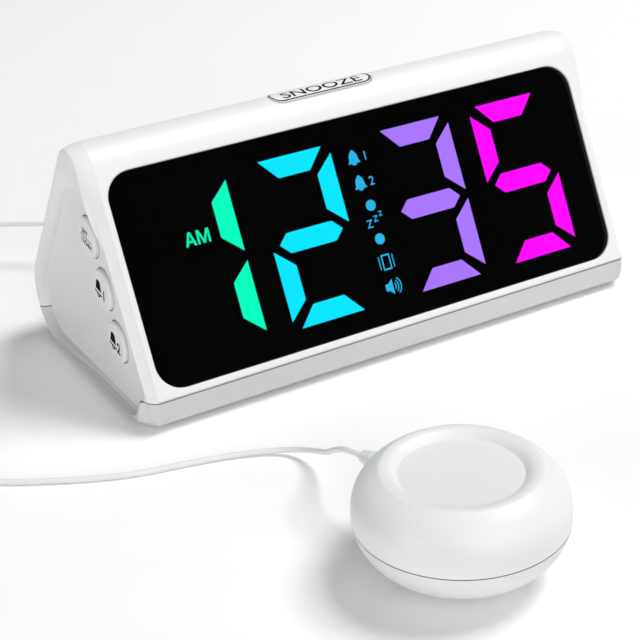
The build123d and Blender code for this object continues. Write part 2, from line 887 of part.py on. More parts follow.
with BuildPart() as snooze_board:
    with BuildSketch(Plane.XY.offset(snooze_board_z)):
        with Locations((snooze_x, ridge_y)):
            RectangleRounded(snooze_board_length, snooze_board_width, board_corner)
        with Locations(*snooze_post_spots):
            Circle(display_screw_shank / 2 + fit, mode=Mode.SUBTRACT)
    extrude(amount=board_thickness)
snooze_board.part.label = "snooze_board"
export_step(snooze_board.part, "parts/snooze_board.step")

with BuildPart() as snooze_key_switch:
    with BuildSketch(Plane.XY.offset(snooze_board_top)):
        with Locations((snooze_x, ridge_y)):
            Rectangle(switch_size, switch_size)
    extrude(amount=switch_height)
    with BuildSketch(Plane.XY.offset(snooze_board_top + switch_height)):
        with Locations((snooze_x, ridge_y)):
            Circle(plunger_diameter / 2)
    extrude(amount=plunger_height)
snooze_key_switch.part.label = "snooze_key_switch"
export_step(snooze_key_switch.part, "parts/snooze_key_switch.step")

with BuildPart() as snooze_board_screws:
    with BuildSketch(Plane.XY.offset(snooze_board_z)):
        with Locations(*snooze_post_spots):
            Circle(small_screw_head / 2)
    extrude(amount=-small_screw_head_height)
    with BuildSketch(Plane.XY.offset(snooze_board_z)):
        with Locations(*snooze_post_spots):
            Circle(display_screw_shank / 2)
    extrude(amount=small_screw_length)
snooze_board_screws.part.label = "snooze_board_screws"
export_step(snooze_board_screws.part, "parts/snooze_board_screws.step")

# Display: seven-segment shapes, in window coordinates


def segment_outlines(left):
    """Outlines of one digit's segments by letter: a on top, b to f going round clockwise, g in the middle."""
    right = left + digit_width
    low = digit_bottom
    high = digit_bottom + digit_height
    mid = digit_bottom + digit_height / 2
    t = segment_width
    tip = segment_tip
    slant = t - segment_bevel
    cut = tip + slant
    above = mid + segment_gap
    below = mid - segment_gap
    return {
        "a": [(left + tip, high), (right - tip, high), (right - cut, high - t), (left + cut, high - t)],
        "b": [(right, high - tip), (right, above), (right - t, above + slant), (right - t, high - cut)],
        "c": [(right, low + tip), (right - t, low + cut), (right - t, below - slant), (right, below)],
        "d": [(left + tip, low), (left + cut, low + t), (right - cut, low + t), (right - tip, low)],
        "e": [(left, low + tip), (left, below), (left + t, below - slant), (left + t, low + cut)],
        "f": [(left, high - tip), (left + t, high - cut), (left + t, above + slant), (left, above)],
        "g": [
            (left + tip, mid),
            (left + tip + t / 2, mid + t / 2),
            (right - tip - t / 2, mid + t / 2),
            (right - tip, mid),
            (right - tip - t / 2, mid - t / 2),
            (left + tip + t / 2, mid - t / 2),
        ],
    }


digits_shown = ("bc", "abged", "abgcd", "afgcd")
lit_outlines = []
unlit_outlines = []
for left, lit in zip(digit_lefts, digits_shown):
    outlines = segment_outlines(left)
    lit_outlines.append([outlines[letter] for letter in lit])
    unlit_outlines += [outlines[letter] for letter in outlines if letter not in lit]
all_outlines = [outline for digit in lit_outlines for outline in digit] + unlit_outlines


def outline_sketch(outlines, shrink=0.0):
    """Faces of several closed outlines, made smaller all round by shrink."""
    with BuildSketch() as shape:
        for outline in outlines:
            with BuildLine():
                Polyline(*outline, close=True)
            make_face()
        if shrink:
            offset(amount=-shrink, kind=Kind.INTERSECTION, mode=Mode.REPLACE)
    return shape.sketch


# Tinted front window, flush in its rebate
with BuildPart() as front_window:
    with BuildSketch(front_plane.offset(-window_set)):
        with Locations(window_middle):
            RectangleRounded(window_width, window_height, window_corner)
    extrude(amount=-window_thickness)
    window_face = front_window.faces().sort_by(Axis(front_plane.origin, front_plane.z_dir)).last
    chamfer(window_face.edges(), window_edge_break)
front_window.part.label = "front_window"
export_step(front_window.part, "parts/front_window.step")

# Black mask behind the window, open at every segment and symbol
with BuildPart() as display_mask:
    with BuildSketch(front_plane.offset(-mask_front)):
        with Locations(window_middle):
            RectangleRounded(window_width, window_height, window_corner)
        add(outline_sketch(all_outlines), mode=Mode.SUBTRACT)
        with Locations((icon_x, icon_slot_middle)):
            Rectangle(icon_slot_width, icon_slot_height, mode=Mode.SUBTRACT)
        with Locations((letter_slot_x, letter_slot_y)):
            Rectangle(letter_slot_width, letter_slot_height, mode=Mode.SUBTRACT)
    extrude(amount=-mask_thickness)
display_mask.part.label = "display_mask"
export_step(display_mask.part, "parts/display_mask.step")

# Reflector block with a stepped light well behind each segment and slots behind the symbols
with BuildPart() as reflector:
    with BuildSketch(front_plane.offset(-mask_back)):
        with Locations(window_middle):
            RectangleRounded(
                opening_width - 2 * reflector_margin,
                opening_height - 2 * reflector_margin,
                window_corner - window_ledge,
            )
    extrude(amount=-reflector_depth)
    with BuildSketch(front_plane.offset(-mask_back)):
        add(outline_sketch(all_outlines))
        with Locations((icon_x, icon_slot_middle)):
            Rectangle(icon_slot_width, icon_slot_height)
        with Locations((letter_slot_x, letter_slot_y)):
            Rectangle(letter_slot_width, letter_slot_height)
    extrude(amount=-diffuser_depth, mode=Mode.SUBTRACT)
    with BuildSketch(front_plane.offset(-mask_back)):
        add(outline_sketch(all_outlines, diffuser_step))
        with Locations((icon_x, icon_slot_middle)):
            Rectangle(icon_slot_width - 2 * diffuser_step, icon_slot_height - 2 * diffuser_step)
        with Locations((letter_slot_x, letter_slot_y)):
            Rectangle(letter_slot_width - 2 * diffuser_step, letter_slot_height - 2 * diffuser_step)
    extrude(amount=-reflector_depth, mode=Mode.SUBTRACT)
reflector.part.label = "reflector"
export_step(reflector.part, "parts/reflector.step")


def diffusers(outlines):
    """Light diffusers of one digit: they sit on the step of their wells and fill the mask."""
    with BuildPart() as blocks:
        with BuildSketch(front_plane.offset(-mask_front)):
            add(outline_sketch(outlines, diffuser_gap))
        extrude(amount=-(mask_thickness + diffuser_depth))
    return blocks.part


with BuildPart() as hour_tens_digit:
    add(diffusers(lit_outlines[0]))
hour_tens_digit.part.label = "hour_tens_digit"
export_step(hour_tens_digit.part, "parts/hour_tens_digit.step")

with BuildPart() as hour_units_digit:
    add(diffusers(lit_outlines[1]))
hour_units_digit.part.label = "hour_units_digit"
export_step(hour_units_digit.part, "parts/hour_units_digit.step")

with BuildPart() as minute_tens_digit:
    add(diffusers(lit_outlines[2]))
minute_tens_digit.part.label = "minute_tens_digit"
export_step(minute_tens_digit.part, "parts/minute_tens_digit.step")

with BuildPart() as minute_units_digit:
    add(diffusers(lit_outlines[3]))
minute_units_digit.part.label = "minute_units_digit"
export_step(minute_units_digit.part, "parts/minute_units_digit.step")

with BuildPart() as unlit_segments:
    add(diffusers(unlit_outlines))
unlit_segments.part.label = "unlit_segments"
export_step(unlit_segments.part, "parts/unlit_segments.step")

# Light guides behind the symbol column and the morning marker, flush with the mask
with BuildPart() as symbol_strip:
    with BuildSketch(front_plane.offset(-mask_front)):
        with Locations((icon_x, icon_slot_middle)):
            Rectangle(icon_slot_width - 2 * diffuser_gap, icon_slot_height - 2 * diffuser_gap)
    extrude(amount=-(mask_thickness + diffuser_depth))
symbol_strip.part.label = "symbol_strip"
export_step(symbol_strip.part, "parts/symbol_strip.step")

with BuildPart() as morning_marker:
    with BuildSketch(front_plane.offset(-mask_front)):
        with Locations((letter_slot_x, letter_slot_y)):
            Rectangle(letter_slot_width - 2 * diffuser_gap, letter_slot_height - 2 * diffuser_gap)
    extrude(amount=-(mask_thickness + diffuser_depth))
morning_marker.part.label = "morning_marker"
export_step(morning_marker.part, "parts/morning_marker.step")

# Display board behind the reflector, with its light chips and screws
with BuildPart() as display_board:
    with BuildSketch(front_plane.offset(-led_board_front)):
        with Locations((window_width / 2, (led_board_low_margin + led_board_top) / 2)):
            RectangleRounded(2 * led_board_half, led_board_top - led_board_low_margin, board_corner)
        for side in (-led_ear_x, led_ear_x):
            with Locations((window_width / 2 + side, display_boss_high / 2)):
                Rectangle(led_ear_width, display_boss_high + 2 * led_ear_reach)
        with Locations(*boss_spots):
            Circle(display_screw_shank / 2 + fit, mode=Mode.SUBTRACT)
    extrude(amount=-board_thickness)
display_board.part.label = "display_board"
export_step(display_board.part, "parts/display_board.step")

chip_spots = []
for outline in all_outlines:
    xs, ys = zip(*outline)
    chip_spots.append((sum(xs) / len(xs), sum(ys) / len(ys)))
chip_spots += [(icon_x, icon_slot_middle + row * icon_chip_pitch) for row in range(-3, 4)]
chip_spots += [(letter_slot_x, letter_slot_y)]
with BuildPart() as light_chips:
    with BuildSketch(front_plane.offset(-led_board_front)):
        with Locations(*chip_spots):
            Rectangle(led_size, led_size)
    extrude(amount=led_height)
light_chips.part.label = "light_chips"
export_step(light_chips.part, "parts/light_chips.step")

with BuildPart() as display_screws:
    with BuildSketch(front_plane.offset(-led_board_front - board_thickness)):
        with Locations(*boss_spots):
            Circle(small_screw_head / 2)
    extrude(amount=-small_screw_head_height)
    with BuildSketch(front_plane.offset(-led_board_front - board_thickness)):
        with Locations(*boss_spots):
            Circle(display_screw_shank / 2)
    extrude(amount=board_thickness + led_board_front - front_wall - fit)
display_screws.part.label = "display_screws"
export_step(display_screws.part, "parts/display_screws.step")

# Main board on four standoffs, with its chip, capacitors and screws
with BuildPart() as main_board:
    with BuildSketch(Plane.XY.offset(main_under_z)):
        with Locations(main_middle):
            Rectangle(*main_size)
            with GridLocations(*main_screw_pitch, 2, 2):
                Circle(display_screw_shank / 2 + fit, mode=Mode.SUBTRACT)
    extrude(amount=board_thickness)
main_board.part.label = "main_board"
export_step(main_board.part, "parts/main_board.step")

with BuildPart() as main_board_screws:
    with BuildSketch(Plane.XY.offset(main_top_z)):
        with Locations(main_middle):
            with GridLocations(*main_screw_pitch, 2, 2):
                Circle(small_screw_head / 2)
    extrude(amount=small_screw_head_height)
    with BuildSketch(Plane.XY.offset(main_top_z)):
        with Locations(main_middle):
            with GridLocations(*main_screw_pitch, 2, 2):
                Circle(display_screw_shank / 2)
    extrude(amount=-small_screw_length)
main_board_screws.part.label = "main_board_screws"
export_step(main_board_screws.part, "parts/main_board_screws.step")

with BuildPart() as control_chip:
    with BuildSketch(Plane.XY.offset(main_top_z)):
        with Locations(main_middle):
            Rectangle(chip_size, chip_size)
    extrude(amount=chip_height)
    chamfer(control_chip.faces().sort_by(Axis.Z).last.edges(), chip_height / 5)
control_chip.part.label = "control_chip"
export_step(control_chip.part, "parts/control_chip.step")

with BuildPart() as capacitors:
    with BuildSketch(Plane.XY.offset(main_top_z)):
        with Locations((main_middle[0] + capacitor_pitch * 2, main_middle[1])):
            with GridLocations(0, capacitor_pitch, 1, 2):
                Circle(capacitor_diameter / 2)
    extrude(amount=capacitor_height)
capacitors.part.label = "capacitors"
export_step(capacitors.part, "parts/capacitors.step")

# Shaker socket: a boxed jack whose round neck passes through the back
with BuildPart() as shaker_socket:
    with BuildSketch(Plane.XZ.offset(-jack_body_front_y)):
        with Locations((shaker_socket_x, jack_axis_z)):
            Rectangle(jack_width, jack_height)
    extrude(amount=-(socket_pad_inner_y - fit - jack_body_front_y))
    with BuildSketch(Plane.XZ.offset(-socket_face_y)):
        with Locations((shaker_socket_x, jack_axis_z)):
            Circle(jack_neck / 2)
    extrude(amount=socket_face_y - socket_pad_inner_y + 2 * fit)
    with BuildSketch(Plane.XZ.offset(-socket_face_y)):
        with Locations((shaker_socket_x, jack_axis_z)):
            Circle(jack_bore / 2)
    extrude(amount=jack_bore_depth, mode=Mode.SUBTRACT)
shaker_socket.part.label = "shaker_socket"
export_step(shaker_socket.part, "parts/shaker_socket.step")

# Power inlet: an oval metal shell with a contact tongue
with BuildPart() as power_socket:
    with BuildSketch(Plane.XZ.offset(-socket_face_y)):
        with Locations((power_socket_x, power_axis_z)):
            SlotOverall(power_width, power_height)
    extrude(amount=power_depth)
    with BuildSketch(Plane.XZ.offset(-socket_face_y)):
        with Locations((power_socket_x, power_axis_z)):
            SlotOverall(power_width - 2 * power_wall, power_height - 2 * power_wall)
    extrude(amount=power_cavity, mode=Mode.SUBTRACT)
    with BuildSketch(Plane.XZ.offset(-(socket_face_y - power_cavity))):
        with Locations((power_socket_x, power_axis_z)):
            Rectangle(power_tongue_width, power_tongue_height)
    extrude(amount=-power_tongue_length)
power_socket.part.label = "power_socket"
export_step(power_socket.part, "parts/power_socket.step")

# Loudspeaker over the grille: frame, paper cone and magnet
speaker_plane = Plane(origin=(speaker_x, speaker_y, floor_top), x_dir=(1, 0, 0), z_dir=(0, -1, 0))
speaker_axis = Axis((speaker_x, speaker_y, floor_top), (0, 0, 1))
speaker_radius = speaker_diameter / 2
basket_top = speaker_height - magnet_height
with BuildPart() as speaker_frame:
    with BuildSketch(speaker_plane):
        with BuildLine():
            Polyline(
                (speaker_radius - speaker_lip, 0),
                (speaker_radius, 0),
                (speaker_radius, speaker_flange),
                (speaker_radius - speaker_steel, speaker_flange),
                (magnet_diameter / 2 + speaker_steel, basket_top),
                (0, basket_top),
                (0, basket_top - speaker_steel),
                (magnet_diameter / 2, basket_top - speaker_steel),
                (speaker_radius - 2 * speaker_steel, speaker_flange),
                (speaker_radius - speaker_lip, speaker_flange),
                close=True,
            )
        make_face()
    revolve(axis=speaker_axis)
speaker_frame.part.label = "speaker_frame"
export_step(speaker_frame.part, "parts/speaker_frame.step")

cone_outer = speaker_radius - speaker_lip + speaker_steel / 2
cone_inner = speaker_radius - speaker_lip - speaker_steel
coil_top = basket_top - 2 * speaker_steel
with BuildPart() as speaker_cone:
    with BuildSketch(speaker_plane):
        with BuildLine():
            Polyline(
                (cone_outer, speaker_flange),
                (cone_outer, speaker_flange + cone_paper),
                (cone_inner, speaker_flange + cone_paper),
                (voice_coil_radius, coil_top - cone_paper),
                (voice_coil_radius, coil_top),
                (voice_coil_radius - cone_paper, coil_top),
                (voice_coil_radius - cone_paper, coil_top - 2 * cone_paper),
                (0, coil_top - 3 * cone_paper),
                (0, coil_top - 4 * cone_paper),
                (voice_coil_radius - cone_paper, coil_top - 3 * cone_paper),
                (cone_inner - cone_paper, speaker_flange),
                close=True,
            )
        make_face()
    revolve(axis=speaker_axis)
speaker_cone.part.label = "speaker_cone"
export_step(speaker_cone.part, "parts/speaker_cone.step")

with BuildPart() as speaker_magnet:
    with BuildSketch(Plane.XY.offset(floor_top + basket_top)):
        with Locations((speaker_x, speaker_y)):
            Circle(magnet_diameter / 2)
    extrude(amount=magnet_height)
    chamfer(speaker_magnet.faces().sort_by(Axis.Z).last.edges(), speaker_steel / 2)
speaker_magnet.part.label = "speaker_magnet"
export_step(speaker_magnet.part, "parts/speaker_magnet.step")

# Backup cell in its well, with spring contacts, door and door screw
cell_bottom_z = underside_z + door_thickness + door_pad
cell_top_z = cell_bottom_z + cell_thickness
with BuildPart() as coin_cell:
    with BuildSketch(Plane.XY.offset(cell_bottom_z)):
        with Locations(well_spot):
            Circle(cell_diameter / 2)
    extrude(amount=cell_thickness)
    chamfer(coin_cell.faces().sort_by(Axis.Z).first.edges(), cell_thickness / 8)
coin_cell.part.label = "coin_cell"
export_step(coin_cell.part, "parts/coin_cell.step")

with BuildPart() as cell_contacts:
    for side in (-1, 1):
        with BuildSketch(Plane.XZ.offset(-(cell_y + side * contact_pitch / 2 - contact_width / 2))):
            with BuildLine():
                Polyline(
                    (cell_x - contact_reach, well_top_z),
                    (cell_x - contact_reach + contact_foot, well_top_z),
                    (cell_x, cell_top_z + contact_strip),
                    (cell_x + contact_foot, cell_top_z + contact_strip),
                    (cell_x + contact_foot, cell_top_z),
                    (cell_x - contact_strip, cell_top_z),
                    (cell_x - contact_reach + contact_foot - contact_strip, well_top_z - contact_strip),
                    (cell_x - contact_reach, well_top_z - contact_strip),
                    close=True,
                )
            make_face()
        extrude(amount=-contact_width)
cell_contacts.part.label = "cell_contacts"
export_step(cell_contacts.part, "parts/cell_contacts.step")

with BuildPart() as battery_door:
    with BuildSketch(Plane.XY.offset(underside_z)):
        with Locations(well_spot):
            Rectangle(well_length + 2 * door_rim - 2 * fit, well_width + 2 * door_rim - 2 * fit)
    extrude(amount=door_thickness)
    with BuildSketch(Plane.XY.offset(underside_z + door_thickness)):
        with Locations(well_spot):
            Circle(door_pad_radius)
            Circle(door_pad_radius - well_wall, mode=Mode.SUBTRACT)
    extrude(amount=door_pad)
    with BuildSketch(Plane.XY.offset(underside_z)):
        with Locations(door_screw_spot):
            Circle(small_screw_head / 2 + fit)
    extrude(amount=door_screw_head_height, mode=Mode.SUBTRACT)
    with BuildSketch(Plane.XY.offset(underside_z)):
        with Locations(door_screw_spot):
            Circle(door_screw_shank / 2 + fit)
    extrude(amount=door_thickness, mode=Mode.SUBTRACT)
battery_door.part.label = "battery_door"
export_step(battery_door.part, "parts/battery_door.step")

with BuildPart() as battery_door_screw:
    with BuildSketch(Plane.XY.offset(underside_z)):
        with Locations(door_screw_spot):
            Circle(small_screw_head / 2)
    extrude(amount=door_screw_head_height)
    with BuildSketch(Plane.XY.offset(underside_z + door_screw_head_height)):
        with Locations(door_screw_spot):
            Circle(door_screw_shank / 2)
    extrude(amount=door_screw_length)
battery_door_screw.part.label = "battery_door_screw"
export_step(battery_door_screw.part, "parts/battery_door_screw.step")

# Rubber feet and case screws
with BuildPart() as rubber_feet:
    with BuildSketch(Plane.XY):
        with Locations(*foot_spots):
            Circle(foot_diameter / 2)
    extrude(amount=foot_thickness)
    chamfer(rubber_feet.edges().group_by(Axis.Z)[0], foot_thickness / 5)
rubber_feet.part.label = "rubber_feet"
export_step(rubber_feet.part, "parts/rubber_feet.step")

with BuildPart() as case_screws:
    with BuildSketch(Plane.XY.offset(case_head_seat_z)):
        with Locations(*case_spots):
            Circle(case_screw_head / 2)
    extrude(amount=-case_head_height)
    with BuildSketch(Plane.XY.offset(case_head_seat_z)):
        with Locations(*case_spots):
            Circle(case_screw_shank / 2)
    extrude(amount=case_screw_length)
case_screws.part.label = "case_screws"
export_step(case_screws.part, "parts/case_screws.step")

# Shaker puck: outer form and hollow as superellipses turned about the puck's axis
puck_plane = Plane(origin=(puck_x, puck_y, 0), x_dir=(1, 0, 0), z_dir=(0, -1, 0))
puck_axis = Axis((puck_x, puck_y, 0), (0, 0, 1))


def oval_radius(z, radius, rise, power):
    """Radius of a superellipse of the given belly radius and rise, at height z above or below its belly."""
    return radius * (1 - (abs(z) / rise) ** power) ** (1 / power)


def oval_height(r, radius, rise, power):
    """Height of the same superellipse at radius r."""
    return rise * (1 - (r / radius) ** power) ** (1 / power)


def oval_points(radius, rise, power, reach):
    """Points on that superellipse from near its belly up to the given height, as radius and height."""
    heights = [reach * share for share in (0.3, 0.55, 0.75, 0.9, 1.0)]
    return [(oval_radius(height, radius, rise, power), height) for height in heights]


rim_height = oval_height(rim_radius, puck_radius, puck_rise, puck_top_power)
crest_z = puck_belly_z + rim_height + crest_rise
dish_floor_z = crest_z - dish_depth
low_points = oval_points(puck_radius, puck_belly_z, puck_low_power, puck_belly_z - puck_under_z)
side_points = oval_points(puck_radius, puck_rise, puck_top_power, rim_height)
with BuildPart() as puck_form:
    with BuildSketch(puck_plane):
        with BuildLine():
            Line((0, puck_under_z), (low_points[-1][0], puck_under_z))
            Spline(*[(r, puck_belly_z - h) for r, h in reversed(low_points)], (puck_radius, puck_belly_z))
            Spline(
                (puck_radius, puck_belly_z),
                *[(r, puck_belly_z + h) for r, h in side_points],
                (crest_radius, crest_z),
                tangents=((0, 1), (-1, 0)),
            )
            Spline((crest_radius, crest_z), (dish_radius, dish_floor_z), tangents=((-1, 0), (-1, -1)))
            Line((dish_radius, dish_floor_z), (0, dish_floor_z))
            Line((0, dish_floor_z), (0, puck_under_z))
        make_face()
    revolve(axis=puck_axis)

inner_radius = puck_radius - puck_wall
inner_top_rise = dish_floor_z - puck_wall - puck_belly_z
inner_low_rise = puck_belly_z - puck_under_z - puck_wall
inner_low_points = oval_points(inner_radius, inner_low_rise, puck_low_power, inner_turn_share * inner_low_rise)
inner_top_points = oval_points(inner_radius, inner_top_rise, puck_inner_power, inner_turn_share * inner_top_rise)
puck_inner_top_z = puck_belly_z + inner_top_rise
puck_inner_floor_z = puck_belly_z - inner_low_rise
inner_flat = inner_top_points[-1][0] - puck_wall
with BuildPart() as puck_hollow:
    with BuildSketch(puck_plane):
        with BuildLine():
            Spline(
                (0, puck_inner_floor_z),
                *[(r, puck_belly_z - h) for r, h in reversed(inner_low_points)],
                (inner_radius, puck_belly_z),
            )
            Spline(
                (inner_radius, puck_belly_z),
                *[(r, puck_belly_z + h) for r, h in inner_top_points],
                (inner_flat, puck_inner_top_z),
            )
            Line((inner_flat, puck_inner_top_z), (0, puck_inner_top_z))
            Line((0, puck_inner_top_z), (0, puck_inner_floor_z))
        make_face()
    revolve(axis=puck_axis)

puck_spot = (puck_x, puck_y)
puck_screw_angles = [math.radians(turn) for turn in puck_screw_turns]
puck_screw_spots = [
    (puck_x + puck_post_radius * math.cos(angle), puck_y + puck_post_radius * math.sin(angle))
    for angle in puck_screw_angles
]
boot_direction = Vector(math.cos(math.radians(boot_angle)), math.sin(math.radians(boot_angle)), 0)


def boot_plane(reach):
    """Plane across the puck's cord boot, at a distance from the puck's axis."""
    origin = Vector(puck_x, puck_y, boot_z) + boot_direction * reach
    return Plane(origin=origin, x_dir=(0, 0, 1), z_dir=boot_direction)


# Upper shell: the dished cap with three screw posts and the hole for the cord boot
with BuildPart() as puck_upper_shell:
    add(puck_form.part)
    add(puck_hollow.part, mode=Mode.SUBTRACT)
    split(bisect_by=Plane.XY.offset(puck_seam_z), keep=Keep.TOP)
    with BuildSketch(Plane.XY.offset(puck_post_z)):
        with Locations(*puck_screw_spots):
            Circle(puck_post_diameter / 2)
    extrude(amount=puck_inner_top_z + puck_wall / 2 - puck_post_z)
    with BuildSketch(Plane.XY.offset(puck_post_z)):
        with Locations(*puck_screw_spots):
            Circle(puck_screw_shank / 2 + snug_fit)
    extrude(amount=puck_screw_bite, mode=Mode.SUBTRACT)
    with BuildSketch(boot_plane(inner_radius - puck_wall)):
        Circle(boot_diameter / 2 + fit)
    extrude(amount=3 * puck_wall, mode=Mode.SUBTRACT)
puck_upper_shell.part.label = "puck_upper_shell"
export_step(puck_upper_shell.part, "parts/puck_upper_shell.step")

# Ribs, posts and bosses that stand on the floor of the lower shell
motor_left_x = puck_x + motor_start
motor_floor_z = motor_z - motor_flat / 2
motor_roof_z = motor_z + motor_flat / 2
clamp_spots = [
    (motor_left_x + motor_length / 2, puck_y - clamp_pitch / 2),
    (motor_left_x + motor_length / 2, puck_y + clamp_pitch / 2),
]
with BuildPart() as puck_inside:
    for rib_x in (motor_left_x + cradle_in, motor_left_x + motor_length - cradle_in):
        with BuildSketch(Plane.YZ.offset(rib_x - cradle_rib / 2)):
            with Locations((puck_y, cradle_top_z / 2)):
                Rectangle(motor_diameter + 2 * fit + 2 * cradle_cheek, cradle_top_z)
            with Locations((puck_y, (motor_floor_z + cradle_top_z) / 2)):
                Rectangle(motor_diameter + 2 * fit, cradle_top_z - motor_floor_z, mode=Mode.SUBTRACT)
        extrude(amount=cradle_rib)
    with BuildSketch(Plane.XY):
        with Locations(*clamp_spots):
            Circle(clamp_post / 2)
    extrude(amount=motor_roof_z)
    with BuildSketch(Plane.XY.offset(motor_roof_z)):
        with Locations(*clamp_spots):
            Circle(display_screw_shank / 2 + snug_fit)
    extrude(amount=-small_screw_depth, mode=Mode.SUBTRACT)
    with BuildSketch(Plane.XY):
        with Locations(*puck_screw_spots):
            Circle(puck_boss_diameter / 2)
    extrude(amount=puck_post_z)
    add(puck_form.part, mode=Mode.INTERSECT)

# Lower shell: bowl with a locating lip, the motor cradle and screw bosses
with BuildPart() as puck_lower_shell:
    add(puck_form.part)
    add(puck_hollow.part, mode=Mode.SUBTRACT)
    split(bisect_by=Plane.XY.offset(puck_seam_z), keep=Keep.BOTTOM)
    chamfer(puck_lower_shell.edges().group_by(Axis.Z)[-1].sort_by(SortBy.LENGTH)[-1], seam_break)
    with BuildSketch(Plane.XY.offset(puck_seam_z - lip_depth)):
        with Locations(puck_spot):
            Circle(inner_radius - 2 * fit)
            Circle(inner_radius - 2 * fit - lip_thickness, mode=Mode.SUBTRACT)
    extrude(amount=lip_depth + lip_rise)
    with BuildSketch(boot_plane(inner_radius - puck_wall)):
        with Locations((puck_seam_z - boot_z + boot_notch / 2, 0)):
            Rectangle(boot_notch, boot_notch)
    extrude(amount=2 * puck_wall, mode=Mode.SUBTRACT)
    add(puck_inside.part)
    with BuildSketch(Plane.XY):
        with Locations(*puck_screw_spots):
            Circle(puck_screw_head / 2 + fit)
    extrude(amount=puck_head_seat_z, mode=Mode.SUBTRACT)
    with BuildSketch(Plane.XY):
        with Locations(*puck_screw_spots):
            Circle(puck_screw_shank / 2 + fit)
    extrude(amount=puck_post_z, mode=Mode.SUBTRACT)
puck_lower_shell.part.label = "puck_lower_shell"
export_step(puck_lower_shell.part, "parts/puck_lower_shell.step")

with BuildPart() as puck_foot:
    with BuildSketch(Plane.XY):
        with Locations(puck_spot):
            Circle(puck_foot_radius)
    extrude(amount=puck_under_z)
puck_foot.part.label = "puck_foot"
export_step(puck_foot.part, "parts/puck_foot.step")

with BuildPart() as puck_screws:
    with BuildSketch(Plane.XY.offset(puck_head_seat_z)):
        with Locations(*puck_screw_spots):
            Circle(puck_screw_head / 2)
    extrude(amount=-small_screw_head_height)
    with BuildSketch(Plane.XY.offset(puck_head_seat_z)):
        with Locations(*puck_screw_spots):
            Circle(puck_screw_shank / 2)
    extrude(amount=puck_screw_length)
puck_screws.part.label = "puck_screws"
export_step(puck_screws.part, "parts/puck_screws.step")

# Motor with flattened sides, its clamp and clamp screws
with BuildPart() as vibration_motor:
    with BuildSketch(Plane.YZ.offset(motor_left_x)):
        with Locations((puck_y, motor_z)):
            Circle(motor_diameter / 2)
            Rectangle(motor_diameter, motor_flat, mode=Mode.INTERSECT)
    extrude(amount=motor_length)
    with BuildSketch(Plane.YZ.offset(motor_left_x + motor_length)):
        with Locations((puck_y, motor_z)):
            Circle(motor_nose_diameter / 2)
    extrude(amount=motor_nose_length)
    with BuildSketch(Plane.YZ.offset(motor_left_x + motor_length + motor_nose_length)):
        with Locations((puck_y, motor_z)):
            Circle(shaft_diameter / 2 + shaft_fit)
    extrude(amount=-shaft_depth, mode=Mode.SUBTRACT)
vibration_motor.part.label = "vibration_motor"
export_step(vibration_motor.part, "parts/vibration_motor.step")

with BuildPart() as motor_clamp:
    with BuildSketch(Plane.XY.offset(motor_roof_z)):
        with Locations((clamp_spots[0][0], puck_y)):
            SlotOverall(clamp_pitch + clamp_post, clamp_post, rotation=90)
        with Locations(*clamp_spots):
            Circle(display_screw_shank / 2 + fit, mode=Mode.SUBTRACT)
    extrude(amount=clamp_thickness)
motor_clamp.part.label = "motor_clamp"
export_step(motor_clamp.part, "parts/motor_clamp.step")

with BuildPart() as motor_clamp_screws:
    with BuildSketch(Plane.XY.offset(motor_roof_z + clamp_thickness)):
        with Locations(*clamp_spots):
            Circle(small_screw_head / 2)
    extrude(amount=small_screw_head_height)
    with BuildSketch(Plane.XY.offset(motor_roof_z + clamp_thickness)):
        with Locations(*clamp_spots):
            Circle(display_screw_shank / 2)
    extrude(amount=-small_screw_length)
motor_clamp_screws.part.label = "motor_clamp_screws"
export_step(motor_clamp_screws.part, "parts/motor_clamp_screws.step")

# Eccentric weight: half disc and hub on the motor's shaft
weight_x = motor_left_x + motor_length + motor_nose_length + weight_gap
with BuildPart() as eccentric_weight:
    with BuildSketch(Plane.YZ.offset(weight_x)):
        with Locations((puck_y, motor_z)):
            Circle(weight_radius)
        with Locations((puck_y, motor_z + weight_radius)):
            Rectangle(2 * weight_radius, 2 * weight_radius, mode=Mode.SUBTRACT)
        with Locations((puck_y, motor_z)):
            Circle(weight_hub / 2)
    extrude(amount=weight_length)
    with BuildSketch(Plane.YZ.offset(weight_x + weight_length)):
        with Locations((puck_y, motor_z)):
            Circle(shaft_diameter / 2)
    extrude(amount=-(weight_length + shaft_depth))
eccentric_weight.part.label = "eccentric_weight"
export_step(eccentric_weight.part, "parts/eccentric_weight.step")

# Boot of the cord in the puck's wall
with BuildPart() as puck_cord_boot:
    with BuildSketch(boot_plane(boot_inner)):
        Circle(boot_flange / 2)
    extrude(amount=boot_flange_thickness)
    with BuildSketch(boot_plane(boot_inner)):
        Circle(boot_diameter / 2)
    extrude(amount=boot_shoulder - boot_inner)
    with BuildSketch(boot_plane(boot_shoulder)):
        Circle(boot_diameter / 2)
    with BuildSketch(boot_plane(boot_reach)):
        Circle(boot_tip / 2)
    loft()
puck_cord_boot.part.label = "puck_cord_boot"
export_step(puck_cord_boot.part, "parts/puck_cord_boot.step")

